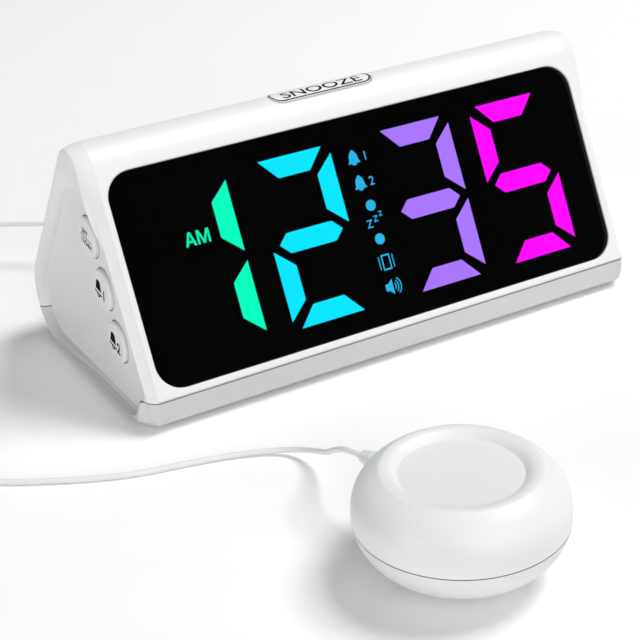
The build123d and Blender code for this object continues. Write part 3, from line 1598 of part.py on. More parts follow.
# Plug in the shaker socket: pin, grip and tapered sleeve turned about the jack's axis
plug_plane = Plane(origin=(shaker_socket_x, socket_face_y, jack_axis_z), x_dir=(1, 0, 0), z_dir=(0, 0, 1))
plug_axis = Axis((shaker_socket_x, socket_face_y, jack_axis_z), (0, 1, 0))
pin_radius = jack_bore / 2 - pin_fit
plug_length = plug_grip + plug_sleeve
with BuildPart() as shaker_plug:
    with BuildSketch(plug_plane):
        with BuildLine():
            Polyline(
                (0, -pin_length),
                (pin_radius / 2, -pin_length),
                (pin_radius, -pin_length + pin_radius),
                (pin_radius, 0),
                (plug_diameter / 2, 0),
                (plug_diameter / 2, plug_grip - plug_step),
                (sleeve_diameter / 2, plug_grip),
                (cord_diameter, plug_length),
                (0, plug_length),
                close=True,
            )
        make_face()
    revolve(axis=plug_axis)
shaker_plug.part.label = "shaker_plug"
export_step(shaker_plug.part, "parts/shaker_plug.step")

# Cord: stretch at the clock, put-away coil, stretch at the puck
half_turns_in = coil_turns_per_layer * 2 - 1
coil_outer = coil_mean_diameter / 2 + half_turns_in * coil_pitch / 4
half_step = coil_pitch / 2
coil_steps = []
for layer in range(coil_layers):
    order = range(half_turns_in + 1)
    if layer % 2:
        order = reversed(order)
    for step in order:
        coil_steps.append((coil_outer - step * half_step, layer))
coil_steps.append((coil_outer + half_step, coil_layers - 1))
coil_points = []
for k, (radius, layer) in enumerate(coil_steps):
    side = -1 if k % 2 == 0 else 1
    coil_points.append((coil_x + side * radius, coil_y, cord_rest_z + layer * coil_layer_pitch))
coil_start = (coil_points[0][0], coil_y - cord_diameter, coil_points[0][2])
coil_end = (coil_points[-1][0], coil_y + cord_diameter, coil_points[-1][2])


def cord_radii(points):
    """Largest bend at each corner of a route: 0.45 of its shorter run over the tangent of half its turn."""
    radii = []
    for before, corner, after in zip(points, points[1:], points[2:]):
        run_in = Vector(corner) - Vector(before)
        run_out = Vector(after) - Vector(corner)
        half_turn = math.radians(run_in.get_angle(run_out)) / 2
        radii.append(0.45 * min(run_in.length, run_out.length) / math.tan(half_turn))
    return radii


def cord_tube(points):
    """Round tube along straight runs joined by tangent arcs, with its length."""
    radii = cord_radii(points)
    with BuildPart() as tube:
        with BuildLine() as route:
            FilletPolyline(*points, radius=radii)
        path = route.wires()[0]
        with BuildSketch(Plane(origin=path @ 0, z_dir=path % 0)):
            Circle(cord_diameter / 2)
        sweep(path=path)
    expected = math.pi * cord_diameter**2 / 4 * path.length
    print(f"cord {path.length:.0f} mm, radii {min(radii):.1f} to {max(radii):.0f}")
    print(f"volume against its section times its length {tube.part.volume / expected:.4f}")
    return tube.part


plug_end = (shaker_socket_x, socket_face_y + plug_length, jack_axis_z)
clock_cord_points = [plug_end] + clock_cord_route + [coil_end]
with BuildPart() as cord_at_clock:
    add(cord_tube(clock_cord_points))
cord_at_clock.part.label = "cord_at_clock"
export_step(cord_at_clock.part, "parts/cord_at_clock.step")

boot_end = boot_plane(boot_reach).origin
puck_cord_points = [tuple(boot_end)] + puck_cord_route + [coil_start]
with BuildPart() as cord_at_puck:
    add(cord_tube(puck_cord_points))
cord_at_puck.part.label = "cord_at_puck"
export_step(cord_at_puck.part, "parts/cord_at_puck.step")

with BuildPart() as cord_coil:
    with BuildLine() as coil_route:
        Line(coil_start, coil_points[0])
        for k in range(len(coil_points) - 1):
            heading = (0, 1, 0) if k % 2 == 0 else (0, -1, 0)
            TangentArc(coil_points[k], coil_points[k + 1], tangent=heading)
        Line(coil_points[-1], coil_end)
    coil_path = coil_route.wires()[0]
    with BuildSketch(Plane(origin=coil_start, z_dir=(0, 1, 0))):
        Circle(cord_diameter / 2)
    sweep(path=coil_path)
cord_coil.part.label = "cord_coil"
export_step(cord_coil.part, "parts/cord_coil.step")
coil_length = coil_path.length
coil_expected = math.pi * cord_diameter**2 / 4 * coil_length
sample_count = round(coil_length)
samples = [tuple(coil_path @ (k / sample_count)) for k in range(sample_count + 1)]
least = min(
    math.dist(samples[i], samples[j])
    for i in range(len(samples))
    for j in range(i + round(coil_mean_diameter / 2), len(samples))
)
print(f"coil {coil_length:.0f} mm, volume {cord_coil.part.volume / coil_expected:.4f}")
print(f"least gap between its turns {least - cord_diameter:.2f} mm")
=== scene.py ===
import math

import bmesh
import bpy
import numpy as np
from mathutils import Matrix


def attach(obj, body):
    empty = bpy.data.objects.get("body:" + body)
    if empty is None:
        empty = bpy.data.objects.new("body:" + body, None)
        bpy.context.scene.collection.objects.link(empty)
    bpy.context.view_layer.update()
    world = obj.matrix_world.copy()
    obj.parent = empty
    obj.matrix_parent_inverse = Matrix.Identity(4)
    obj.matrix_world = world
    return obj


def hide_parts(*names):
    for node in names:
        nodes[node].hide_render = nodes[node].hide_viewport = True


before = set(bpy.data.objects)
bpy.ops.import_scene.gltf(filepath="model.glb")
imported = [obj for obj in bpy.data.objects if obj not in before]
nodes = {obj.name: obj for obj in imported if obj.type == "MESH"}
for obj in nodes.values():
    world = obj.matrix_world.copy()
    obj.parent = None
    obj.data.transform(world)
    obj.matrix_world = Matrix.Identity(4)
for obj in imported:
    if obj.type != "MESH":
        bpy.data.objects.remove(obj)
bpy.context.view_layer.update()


# Upper housing: one moulded shell with a satin, very finely textured white surface.
# It is screwed down to the base tray and carries the window, the end panels and the snooze bar.
class Socket:
    """A shader socket with the arithmetic of numbers: each operator adds one Math node."""

    def __init__(self, tree, link):
        self.tree = tree
        self.link = link

    def node(self, kind, settings=None, out=0, **inputs):
        """One node of any type: settings first, then values or links of its named or numbered sockets."""
        made = self.tree.nodes.new(kind)
        for name, value in (settings or {}).items():
            setattr(made, name, value)
        for name, value in inputs.items():
            place = made.inputs[int(name[1:])] if name[1:].isdigit() else made.inputs[name.replace("_", " ")]
            if isinstance(value, Socket):
                self.tree.links.new(value.link, place)
            else:
                place.default_value = value
        return Socket(self.tree, made.outputs[out])

    def maths(self, operation, first, second):
        return self.node("ShaderNodeMath", {"operation": operation}, i0=first, i1=second)

    def __add__(self, other):
        return self.maths("ADD", self, other)

    def __radd__(self, other):
        return self.maths("ADD", other, self)

    def __sub__(self, other):
        return self.maths("SUBTRACT", self, other)

    def __rsub__(self, other):
        return self.maths("SUBTRACT", other, self)

    def __mul__(self, other):
        return self.maths("MULTIPLY", self, other)

    def __rmul__(self, other):
        return self.maths("MULTIPLY", other, self)

    def __truediv__(self, other):
        return self.maths("DIVIDE", self, other)

    def __gt__(self, other):
        return self.maths("GREATER_THAN", self, other)

    def __lt__(self, other):
        return self.maths("LESS_THAN", self, other)

    def mix(self, low, high):
        """Colour between low and high, by this value."""
        return self.node("ShaderNodeMix", {"data_type": "RGBA"}, out=2, i0=self, i6=low, i7=high)


def new_finish(name, **constants):
    """A material with one Principled shader; constants go on the shader's own sockets."""
    finish = bpy.data.materials.new(name)
    finish.use_nodes = True
    tree = finish.node_tree
    shader = tree.nodes["Principled BSDF"]
    for socket, value in constants.items():
        shader.inputs[socket.replace("_", " ")].default_value = value
    place = tree.nodes.new("ShaderNodeTexCoord")
    return finish, shader, Socket(tree, place.outputs["Object"])


def feed(shader, **links):
    """Join varying values to the shader's sockets."""
    for socket, value in links.items():
        value.tree.links.new(value.link, shader.inputs[socket.replace("_", " ")])


def moulded(name, tint, shade, grain=9000.0, rough=0.42, relief=0.000012, edge=0.0003, seam=(-1.0, -1.0)):
    """Moulded plastic: a slow drift between two close tints, spark-eroded grain in bump and roughness.
    Edges shade as if rounded by the edge radius, and the heights between the two of seam are dark,
    as a joint line is."""
    finish, shader, at = new_finish(name)
    drift = at.node("ShaderNodeTexNoise", Vector=at, Scale=24.0, Detail=3.0)
    sparks = at.node("ShaderNodeTexNoise", Vector=at, Scale=grain, Detail=2.0)
    height = at.node("ShaderNodeSeparateXYZ", out="Z", Vector=at)
    joint = (height > seam[0]) * (height < seam[1])
    body = drift.mix((*shade, 1), (*tint, 1))
    rounded = at.node("ShaderNodeBevel", {"samples": 8}, Radius=edge)
    feed(shader, Base_Color=joint.mix(body, (0.12, 0.12, 0.12, 1)), Roughness=sparks * 0.10 + (rough - 0.05))
    pitted = at.node("ShaderNodeBump", Strength=0.35, Distance=relief, Height=sparks, Normal=rounded)
    feed(shader, Normal=pitted)
    return finish


def dress(finish, *names):
    """The finish on the slots of the model's own nodes."""
    for name in names:
        for place in nodes[name].material_slots:
            place.material = finish


housing_tints = (0.85, 0.85, 0.855), (0.83, 0.83, 0.835)
dress(moulded("housing_satin_white", *housing_tints, edge=0.001), "upper_housing")


# Base tray and battery door: the housing's plastic with the loudspeaker slots, its white darkened as painted
# shade.
# The tray closes the housing from below at the seam line.
# These tints are the housing's white darkened as painted shade, for the dimmer light on the base.
base_shaded_tints = (0.67, 0.67, 0.678), (0.645, 0.645, 0.652)
base_joint = (0.0097, 0.0101)
dress(moulded("base_white_painted_shade", *base_shaded_tints, edge=0.001, seam=base_joint), "base_tray", "battery_door")


# End rims: the rolled lips of the housing and the base tray round the two end panels.
# Each is moulded in one with its shell, white above the seam line and below it darkened as painted shade,
# and leans over into the panel's recess.
ridge_line = np.array((62.302, 66.824))
shell_radius = 10.0
front_slope, back_slope = math.radians(63.6), math.radians(54.5)
seam_height = 10.0


def section(front_in, back_in, foot, ridge_round, heel_round, toe_round, seam_round=0.4):
    """Outline of the clock's section with its front and back planes moved in: both lie a shell radius from
    the ridge line, and each corner is an arc between straight runs of even points."""
    arc_count, run_count = 16, 14
    front_reach, back_reach = shell_radius - front_in, shell_radius - back_in
    rise = (back_reach / math.sin(back_slope) + front_reach / math.sin(front_slope)) / (
        1 / math.tan(front_slope) + 1 / math.tan(back_slope)
    )
    tip = ridge_line + (rise / math.tan(front_slope) - front_reach / math.sin(front_slope), rise)
    toe = tip[0] - (tip[1] - seam_height) / math.tan(front_slope)
    heel = tip[0] + (tip[1] - foot) / math.tan(back_slope)
    corners = np.array([(toe, seam_height), tip, (heel, foot), (toe, foot)])
    arcs = []
    for k, radius in enumerate((seam_round, ridge_round, heel_round, toe_round)):
        before, after = corners[k - 1] - corners[k], corners[(k + 1) % 4] - corners[k]
        before, after = before / np.linalg.norm(before), after / np.linalg.norm(after)
        half = math.acos(before @ after) / 2
        bisector = (before + after) / np.linalg.norm(before + after)
        turn = np.linspace(half - math.pi / 2, math.pi / 2 - half, arc_count)[:, None]
        across = after - (after @ bisector) * bisector
        across /= np.linalg.norm(across)
        centre = corners[k] + bisector * radius / math.sin(half)
        arcs.append(centre + radius * (np.sin(turn) * across - np.cos(turn) * bisector))
    share = np.linspace(0, 1, run_count + 2)[1:-1, None]
    runs = [arcs[k][-1] + share * (arcs[(k + 1) % 4][0] - arcs[k][-1]) for k in range(4)]
    return np.vstack([part for pair in zip(arcs, runs) for part in pair])


def smooth_step(low, high, value):
    """Zero below low, one above high, and the cubic between them."""
    share = np.clip((value - low) / (high - low), 0, 1)
    return share * share * (3 - 2 * share)


def closed_quads(rows, columns):
    """Faces of a grid of points that closes on itself both ways."""
    row, column = np.meshgrid(np.arange(rows), np.arange(columns), indexing="ij")
    next_row, next_column = (row + 1) % rows, (column + 1) % columns
    around = (row, column), (row, next_column), (next_row, next_column), (next_row, column)
    return np.stack([a * columns + b for a, b in around], axis=2).reshape(-1, 4).tolist()


def add_piece(name, data, finish, body):
    """A new object at the origin, with its finish and the body that it rides on."""
    piece = bpy.data.objects.new(name, data)
    bpy.context.scene.collection.objects.link(piece)
    data.materials.append(finish)
    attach(piece, body)
    return piece


# Insets of the front and back planes, height of the foot, and the radii at ridge, heel and toe.
rim_border = np.array((0.03, 0.03, 1.03, 10.0, 16.5, 4.0))
rim_crest = np.array((2.45, 2.0, 2.2, 7.0, 14.5, 4.5))
rim_inside = np.array((3.9, 4.8, 3.3, 16.5, 12.5, 6.0))
border_x, inside_x, front_crest_x, crest_rise = 82.95, 84.42, 85.52, 2.05
# The crest rises between these depths along the foot and these heights up the front,
# and along the front the roll fades out between the heights of toe_roll.
foot_rise, foot_top, ridge_rise = (ridge_line[0] - 6.0, 84.0), 3.0, (61.0, 66.5)
toe_roll = (8.0, 16.0)


def end_rim(outer_count=12, inner_count=10, roll=0.8):
    """Lip round an end as a closed ring: from the border its height grows with one minus a power of what is
    left of the way to the crest, straight along the front and rolled elsewhere, and an ellipse quarter leads
    down to the panel. The crest stands lower along the front and the foot than over the rest."""
    depth, height = section(*rim_border).T
    along_foot = np.where(height < foot_top, smooth_step(*foot_rise, depth), 1.0)
    raised = np.where(depth < foot_rise[0], smooth_step(*ridge_rise, height), along_foot)
    rolled = roll * np.maximum(raised, 1 - smooth_step(*toe_roll, height))
    crest_x = front_crest_x + crest_rise * raised
    rows = []
    for inset in np.linspace(0, 1, outer_count):
        reach = border_x + (crest_x - border_x) * (1 - (1 - inset) ** (1 + rolled))
        rows.append(np.c_[-reach, section(*(rim_border + inset * (rim_crest - rim_border)))])
    for turn in np.linspace(0, np.pi / 2, inner_count)[1:]:
        reach = inside_x + (crest_x - inside_x) * np.cos(turn)
        rows.append(np.c_[-reach, section(*(rim_crest + np.sin(turn) * (rim_inside - rim_crest)))])
    return np.vstack(rows) / 1000, closed_quads(len(rows), len(depth))


rim_spots, rim_faces = end_rim()
housing_rim = moulded("housing_rim_satin_white", *housing_tints, edge=0.0)
# The base rim's darker tint below the seam is painted shade.
base_rim = moulded("base_rim_white_painted_shade", *base_shaded_tints, edge=0.0, seam=base_joint)
shells = ("housing", housing_rim, "housing_white", True), ("base", base_rim, "base_grey_white", False)
for word, side in (("left", 1), ("right", -1)):
    for shell, finish, slot, above in shells:
        name = f"{word}_{shell}_rim"
        mesh = bpy.data.meshes.new(name)
        mesh.from_pydata(rim_spots * (side, 1, 1), [], rim_faces)
        lip = bmesh.new()
        lip.from_mesh(mesh)
        cut = bmesh.ops.bisect_plane(
            lip, geom=[*lip.verts, *lip.edges, *lip.faces], dist=1e-7, plane_co=(0, 0, seam_height / 1000),
            plane_no=(0, 0, 1), clear_inner=above, clear_outer=not above,
        )
        open_edges = [part for part in cut["geom_cut"] if isinstance(part, bmesh.types.BMEdge)]
        bmesh.ops.holes_fill(lip, edges=open_edges)
        bmesh.ops.recalc_face_normals(lip, faces=lip.faces[:])
        lip.to_mesh(mesh)
        lip.free()
        mesh.shade_smooth()
        mesh.set_sharp_from_angle(angle=math.radians(40))
        add_piece(name, mesh, finish, "clock")


# End panels: moulded plates let into the two ends, matt and slightly darker than the housing.
# Each is dished and has three round openings for its keys.
panel = moulded("panel_matt_white", (0.81, 0.81, 0.815), (0.79, 0.79, 0.795), rough=0.5)
dress(panel, "left_end_panel", "right_end_panel")


# Round end keys with printed legends: setting and two alarms on the left, up, down and light on the right.
# The print is a thin black ink film on each cap.
key_names = ["set_button", "alarm_one_button", "alarm_two_button", "up_button", "down_button", "light_button"]
dress(moulded("key_satin_white", (0.84, 0.84, 0.845), (0.82, 0.82, 0.825)), *key_names)


def flat_mesh(splines, lines=()):
    """Triangles of flat closed outlines, holes left open, with words set in Blender's own plain letters.
    Each word is (text, size, x, y, width factor, thickening)."""
    parts = []
    if splines:
        curve = bpy.data.curves.new("outline", "CURVE")
        curve.dimensions = "2D"
        curve.fill_mode = "BOTH"
        for points in splines:
            flat = np.c_[np.array(points, float), np.zeros(len(points)), np.ones(len(points))]
            spline = curve.splines.new("POLY")
            spline.points.add(len(points) - 1)
            spline.points.foreach_set("co", flat.ravel())
            spline.use_cyclic_u = True
        parts.append((curve, 0.0, 0.0, 1.0))
    for text, size, x, y, widen, heavy in lines:
        curve = bpy.data.curves.new("word", "FONT")
        curve.body = text
        curve.size = size
        curve.align_x = "CENTER"
        curve.align_y = "CENTER"
        curve.offset = heavy
        parts.append((curve, x, y, widen))
    points, faces, count = [], [], 0
    for curve, x, y, widen in parts:
        holder = bpy.data.objects.new("flat_shape", curve)
        bpy.context.scene.collection.objects.link(holder)
        bpy.context.view_layer.update()
        shown = holder.evaluated_get(bpy.context.evaluated_depsgraph_get())
        mesh = bpy.data.meshes.new_from_object(shown)
        mesh.calc_loop_triangles()
        flat = np.empty(len(mesh.vertices) * 3)
        mesh.vertices.foreach_get("co", flat)
        corners = np.empty(len(mesh.loop_triangles) * 3, int)
        mesh.loop_triangles.foreach_get("vertices", corners)
        points.append(flat.reshape(-1, 3)[:, :2] * (widen, 1.0) + (x, y))
        faces.append(corners.reshape(-1, 3) + count)
        count += len(points[-1])
        bpy.data.objects.remove(holder)
        bpy.data.meshes.remove(mesh)
    return np.vstack(points), np.vstack(faces)


def film(name, flat, place, outward, finish, body):
    """A printed film: flat triangles carried to the surface by place(u, v), their faces turned outwards."""
    points, faces = flat
    spots = place(points[:, 0], points[:, 1]) / 1000
    corners = spots[faces]
    normals = np.cross(corners[:, 1] - corners[:, 0], corners[:, 2] - corners[:, 0])
    faces = np.where((normals @ outward < 0)[:, None], faces[:, ::-1], faces)
    mesh = bpy.data.meshes.new(name)
    mesh.from_pydata(spots, [], faces.tolist())
    mesh.update()
    add_piece(name, mesh, finish, body)


def ring(x, y, radius, count=32):
    """Points of a circle."""
    turn = np.linspace(0, 2 * np.pi, count, endpoint=False)
    return np.c_[x + radius * np.cos(turn), y + radius * np.sin(turn)]


def key_bell(x, y, s):
    """A printed bell of height s about x, y: a solid crown, then its brim and clapper bow drawn as lines."""
    crown = np.array([(0.12, 0.5), (0.26, 0.38), (0.36, -0.16), (-0.36, -0.16), (-0.26, 0.38), (-0.12, 0.5)])
    brim = np.array([
        (0.40, -0.23), (0.48, -0.40), (-0.48, -0.40), (-0.40, -0.23), (-0.34, -0.30), (0.34, -0.30),
    ])
    turn = np.radians(np.linspace(180, 360, 9))
    bow = np.c_[np.cos(turn), np.sin(turn)]
    clapper = np.r_[bow * 0.20, bow[::-1] * 0.10] + (0.0, -0.40)
    return [part * s + (x, y) for part in (crown, brim, clapper)]


ink, ink_shader, ink_at = new_finish("key_ink_black", Specular_IOR_Level=0.0)
ink_mottle = ink_at.node("ShaderNodeTexNoise", Vector=ink_at, Scale=4000.0, Detail=2.0)
ink_colour = ink_mottle.mix((0.010, 0.010, 0.011, 1), (0.022, 0.022, 0.024, 1))
feed(ink_shader, Base_Color=ink_colour, Roughness=ink_mottle * 0.15 + 0.4)

key_middle = np.array((51.5, 35.3))
key_pitch = 15.8
key_step = key_pitch * np.array((math.cos(front_slope), math.sin(front_slope)))
key_face = 85.8
legend_tilt = math.radians(9.0)
print_height = 0.02


def on_key(row, side):
    """Legend coordinates on a key's cap: u to the reader's right, v up, both turned by the tilt."""
    centre = key_middle + row * key_step

    def place(u, v):
        across = u * math.cos(legend_tilt) + v * math.sin(legend_tilt)
        up = v * math.cos(legend_tilt) - u * math.sin(legend_tilt)
        out = np.full_like(u, side * (key_face + print_height))
        return np.c_[out, centre[0] + side * across, centre[1] + up]

    return place


bar = [(-3.9, -0.14), (3.9, -0.14), (3.9, 0.14), (-3.9, 0.14)]
triangle = np.array([(-2.6, -2.0), (2.6, -2.0), (0.0, 2.4)])
ray = np.array([(2.3, -0.25), (3.6, -0.25), (3.6, 0.25), (2.3, 0.25)])
ray_turns = np.radians(np.arange(0, 360, 45))
rays = [ray @ np.array([(math.cos(a), math.sin(a)), (-math.sin(a), math.cos(a))]) for a in ray_turns]
sun = ring(0.0, 0.0, 1.6, 24)
set_words = [("SET", 2.3, -0.5, 1.6, 1.15, 0.06), ("12/24H", 2.2, 0.3, -1.7, 1.15, 0.06)]
alarm_bell = key_bell(-1.5, 0.1, 5.4)
number_fit = (4.9, 2.3, -0.9, 1.0, 0.12)
legends = [
    ("set_legend", flat_mesh([bar], set_words), 1, -1, "set_key"),
    ("alarm_one_legend", flat_mesh(alarm_bell, [("1", *number_fit)]), 0, -1, "alarm_one_key"),
    ("alarm_two_legend", flat_mesh(alarm_bell, [("2", *number_fit)]), -1, -1, "alarm_two_key"),
    ("up_legend", flat_mesh([triangle]), 1, 1, "up_key"),
    ("down_legend", flat_mesh([triangle * (1, -1)]), 0, 1, "down_key"),
    ("light_legend", flat_mesh([sun, *rays]), -1, 1, "light_key"),
]
for name, flat, row, side, body in legends:
    film(name, flat, on_key(row, side), (side, 0, 0), ink, body)


# Snooze bar: a long cap of the same plastic in a slot of the ridge, with the ridge's curve on top.
# Its word and border are printed in the black ink of the keys.
dress(moulded("snooze_satin_white", (0.86, 0.86, 0.865), (0.84, 0.84, 0.845)), "snooze_button")
ridge_radius = 10.25
snooze_middle = -4.0


def on_ridge(u, v):
    """Coordinates on the snooze bar: u along the ridge, v round its curve towards the back."""
    turn = v / ridge_radius
    reach = ridge_radius + print_height
    return np.c_[snooze_middle + u, ridge_line + reach * np.c_[np.sin(turn), np.cos(turn)]]


def finer(flat, rounds):
    """Each triangle cut into four at the middles of its sides, some rounds over, so that a film can bend."""
    points, faces = flat
    for _ in range(rounds):
        a, b, c = (points[faces[:, k]] for k in range(3))
        ab, bc, ca = (a + b) / 2, (b + c) / 2, (c + a) / 2
        split = np.stack([a, ab, ca, ab, b, bc, ca, bc, c, ab, bc, ca], axis=1).reshape(-1, 2)
        points, places = np.unique(split.round(5), axis=0, return_inverse=True)
        faces = places.reshape(-1, 3)
    return points, faces


def stadium(length, width, corner, count=8):
    """Points of a rectangle with round corners about the origin."""
    turn = np.radians(np.linspace(0, 90, count))
    bow = corner * np.c_[np.cos(turn), np.sin(turn)]
    quarter = bow + (length / 2 - corner, width / 2 - corner)
    half = np.r_[quarter, quarter[::-1] * (-1, 1)]
    return np.r_[half, -half]


snooze_half_width = 3.8
snooze_arc = 2 * ridge_radius * math.asin(snooze_half_width / ridge_radius)
border = [stadium(34.4, snooze_arc - 0.1, 3.2), stadium(33.4, snooze_arc - 1.1, 2.7)]
snooze_print = finer(flat_mesh(border, [("SNOOZE", 5.4, 0.0, -1.1, 1.28, 0.05)]), 3)
film("snooze_print", snooze_print, on_ridge, (0, 0, 1), ink, "snooze")


# Front window: a tinted acrylic plate let flush into the housing, polished on both sides.
# The black mask behind it, the reflector and the diffusers make the display.
window, window_shader, window_at = new_finish("window_tinted_acrylic", IOR=1.4, Specular_IOR_Level=0.02)
smear = window_at.node("ShaderNodeTexNoise", Vector=window_at, Scale=40.0, Detail=4.0)
feed(window_shader, Base_Color=smear.mix((0.0010, 0.0010, 0.0011, 1), (0.0016, 0.0016, 0.0018, 1)))
feed(window_shader, Roughness=smear * 0.03 + 0.04, Alpha=smear * 0.02 + 0.59)
dress(window, "front_window")

mask, mask_shader, mask_at = new_finish("mask_matt_black", Specular_IOR_Level=0.0)
mask_grain = mask_at.node("ShaderNodeTexNoise", Vector=mask_at, Scale=3000.0, Detail=2.0)
mask_colour = mask_grain.mix((0.0006, 0.0006, 0.0007, 1), (0.0012, 0.0012, 0.0013, 1))
feed(mask_shader, Base_Color=mask_colour, Roughness=mask_grain * 0.1 + 0.8)
dress(mask, "display_mask", "symbol_strip", "morning_marker", "unlit_segments")
dress(moulded("reflector_matt_white", (0.84, 0.84, 0.83), (0.8, 0.8, 0.79), rough=0.6), "reflector")


def lit(name, core, edge, strength):
    """A lit diffuser: milky plastic whose glow drifts a little between two tints of one colour."""
    finish, shader, at = new_finish(name, Emission_Strength=strength, Roughness=0.5)
    cloud = at.node("ShaderNodeTexNoise", Vector=at, Scale=120.0, Detail=2.0)
    colour = cloud.mix((*edge, 1), (*core, 1))
    feed(shader, Emission_Color=colour, Base_Color=cloud.mix((0.02, 0.02, 0.02, 1), (0.03, 0.03, 0.03, 1)))
    return finish


glow = 6.3
dress(lit("glow_green", (0.0, 1.0, 0.52), (0.002, 0.97, 0.50), glow), "hour_tens_digit")
dress(lit("glow_cyan", (0.0, 0.80, 1.0), (0.002, 0.77, 0.98), glow), "hour_units_digit")
dress(lit("glow_violet", (0.40, 0.188, 1.0), (0.39, 0.183, 0.98), glow), "minute_tens_digit")
dress(lit("glow_magenta", (1.0, 0.001, 1.0), (0.98, 0.001, 0.96), glow), "minute_units_digit")

window_foot = np.array((-81.0, 23.997, 12.15))
along_slope = np.array((0.0, math.cos(front_slope), math.sin(front_slope)))
out_of_slope = np.array((0.0, -math.sin(front_slope), math.cos(front_slope)))
mask_depth = 2.15
film_depth = mask_depth - print_height


def on_display(u, v):
    """Display coordinates: u from the window's left edge, v up its slope, just in front of the mask."""
    return window_foot + np.outer(u, (1, 0, 0)) + np.outer(v, along_slope) - film_depth * out_of_slope


def bell(x, y, s):
    """Outline of a bell of height s about x, y, with its clapper."""
    half = np.array([
        (0.09, 0.5), (0.09, 0.42), (0.2, 0.36), (0.3, 0.14),
        (0.33, -0.16), (0.45, -0.33), (0.18, -0.33), (0.12, -0.45),
    ])
    whole = np.r_[half, half[::-1] * (-1, 1)]
    return whole * s + (x, y)


def wave(x, y, radius, thick, spread):
    """A bowed band about x, y, open to the right."""
    turn = np.radians(np.linspace(-spread, spread, 12))
    bow = np.c_[np.cos(turn), np.sin(turn)]
    return np.r_[bow * (radius + thick / 2), bow[::-1] * (radius - thick / 2)] + (x, y)


def bent(x, foot, head, sway, width):
    """A wavy upright stroke from foot to head."""
    t = np.linspace(0, 1, 9)
    middle = np.c_[x + sway * np.where(np.arange(9) % 2, 1, -1) / 2, foot + (head - foot) * t]
    return np.r_[middle - (width / 2, 0), (middle + (width / 2, 0))[::-1]]


column = 81.6
symbol_shapes = [
    bell(80.0, 51.2, 4.9),
    bell(80.0, 43.3, 4.9),
    ring(column, 36.0, 1.7),
    ring(column, 25.4, 1.7),
    [(80.2, 15.6), (83.2, 15.6), (83.2, 20.5), (80.2, 20.5)],
    [(80.6, 16.1), (82.8, 16.1), (82.8, 20.0), (80.6, 20.0)],
    bent(79.3, 16.0, 20.1, 0.3, 0.32),
    bent(84.1, 16.0, 20.1, 0.3, 0.32),
    [(79.2, 9.2), (80.3, 9.2), (81.8, 7.9), (81.8, 12.7), (80.3, 11.4), (79.2, 11.4)],
    wave(column, 10.3, 1.2, 0.38, 48),
    wave(column, 10.3, 2.1, 0.38, 50),
    wave(column, 10.3, 3.0, 0.38, 52),
]
symbol_words = [
    ("1", 3.9, 84.1, 51.0, 1.0, 0.02),
    ("2", 3.9, 84.1, 43.1, 1.0, 0.02),
    ("Z", 3.5, 79.6, 30.4, 0.95, 0.03),
    ("Z", 2.7, 82.0, 31.6, 0.95, 0.03),
    ("Z", 2.2, 84.0, 32.8, 0.95, 0.03),
]
symbols = flat_mesh(symbol_shapes, symbol_words)
symbol_glow = lit("glow_sky", (0.025, 0.51, 0.88), (0.022, 0.47, 0.84), 5.8)
film("display_symbols", symbols, on_display, out_of_slope, symbol_glow, "clock")
morning_glow = lit("glow_green_word", (0.0, 0.95, 0.50), (0.002, 0.9, 0.47), 5.6)
letter_a = [(0, 0), (1.4, 4.2), (2.3, 4.2), (3.7, 0), (2.85, 0), (2.53, 0.95), (1.17, 0.95), (0.85, 0)]
letter_a_hole = [(1.42, 1.7), (1.85, 3.3), (2.28, 1.7)]
letter_m = [
    (0, 0), (0, 4.2), (1.0, 4.2), (2.1, 1.3), (3.2, 4.2), (4.2, 4.2), (4.2, 0),
    (3.45, 0), (3.45, 2.9), (2.45, 0), (1.75, 0), (0.75, 2.9), (0.75, 0),
]
a_corner, m_corner = np.array((19.7, 38.3)), np.array((23.7, 38.3))
letters = [letter_a + a_corner, letter_a_hole + a_corner, letter_m + m_corner]
film("morning_word", flat_mesh(letters), on_display, out_of_slope, morning_glow, "clock")


# Boards inside: glass-fibre sheets with solder mask, lamps, switches, a controller and capacitors.
# They are screwed to posts of the housing, the panels and the tray.
def board(name, tint, shade):
    """Solder mask over copper: fine tracks as a raised brick pattern under a semi-gloss coat."""
    finish, shader, at = new_finish(name, Coat_Weight=0.3)
    tracks = at.node("ShaderNodeTexBrick", Vector=at, out=1, Scale=260.0, Mortar_Size=0.03)
    weave = at.node("ShaderNodeTexNoise", Vector=at, Scale=900.0, Detail=2.0)
    feed(shader, Base_Color=tracks.mix((*tint, 1), (*shade, 1)), Roughness=weave * 0.2 + 0.3)
    feed(shader, Normal=at.node("ShaderNodeBump", Strength=0.3, Distance=0.00004, Height=tracks))
    return finish


green_board = board("board_green_mask", (0.03, 0.22, 0.10), (0.05, 0.30, 0.14))
dress(green_board, "main_board", "left_switch_board", "right_switch_board", "snooze_board")
dress(board("board_white_mask", (0.78, 0.78, 0.76), (0.7, 0.7, 0.68)), "display_board")
black_part = moulded("part_black", (0.03, 0.03, 0.032), (0.02, 0.02, 0.022), rough=0.5)
dress(black_part, "left_key_switches", "right_key_switches", "snooze_key_switch")
dress(black_part, "control_chip", "shaker_socket")
dress(moulded("lamp_cream", (0.86, 0.82, 0.6), (0.8, 0.78, 0.66), rough=0.35), "light_chips")


# Screws and the motor's clamp: small pan heads and a bent strip, of zinc-plated steel.
# They hold the boards on their posts, the tray to the housing and the puck's shells together.
def metal(name, tint, shade, rough, stretch=(1.0, 1.0, 1.0), relief=0.00001):
    """Bare metal with fine drawn or turned marks: noise stretched along the marks."""
    finish, shader, at = new_finish(name, Metallic=1.0)
    turned = at.node("ShaderNodeMapping", Vector=at, Scale=stretch)
    marks = at.node("ShaderNodeTexNoise", Vector=turned, Scale=900.0, Detail=3.0)
    feed(shader, Base_Color=marks.mix((*shade, 1), (*tint, 1)), Roughness=marks * 0.2 + (rough - 0.1))
    feed(shader, Normal=at.node("ShaderNodeBump", Strength=0.25, Distance=relief, Height=marks))
    return finish


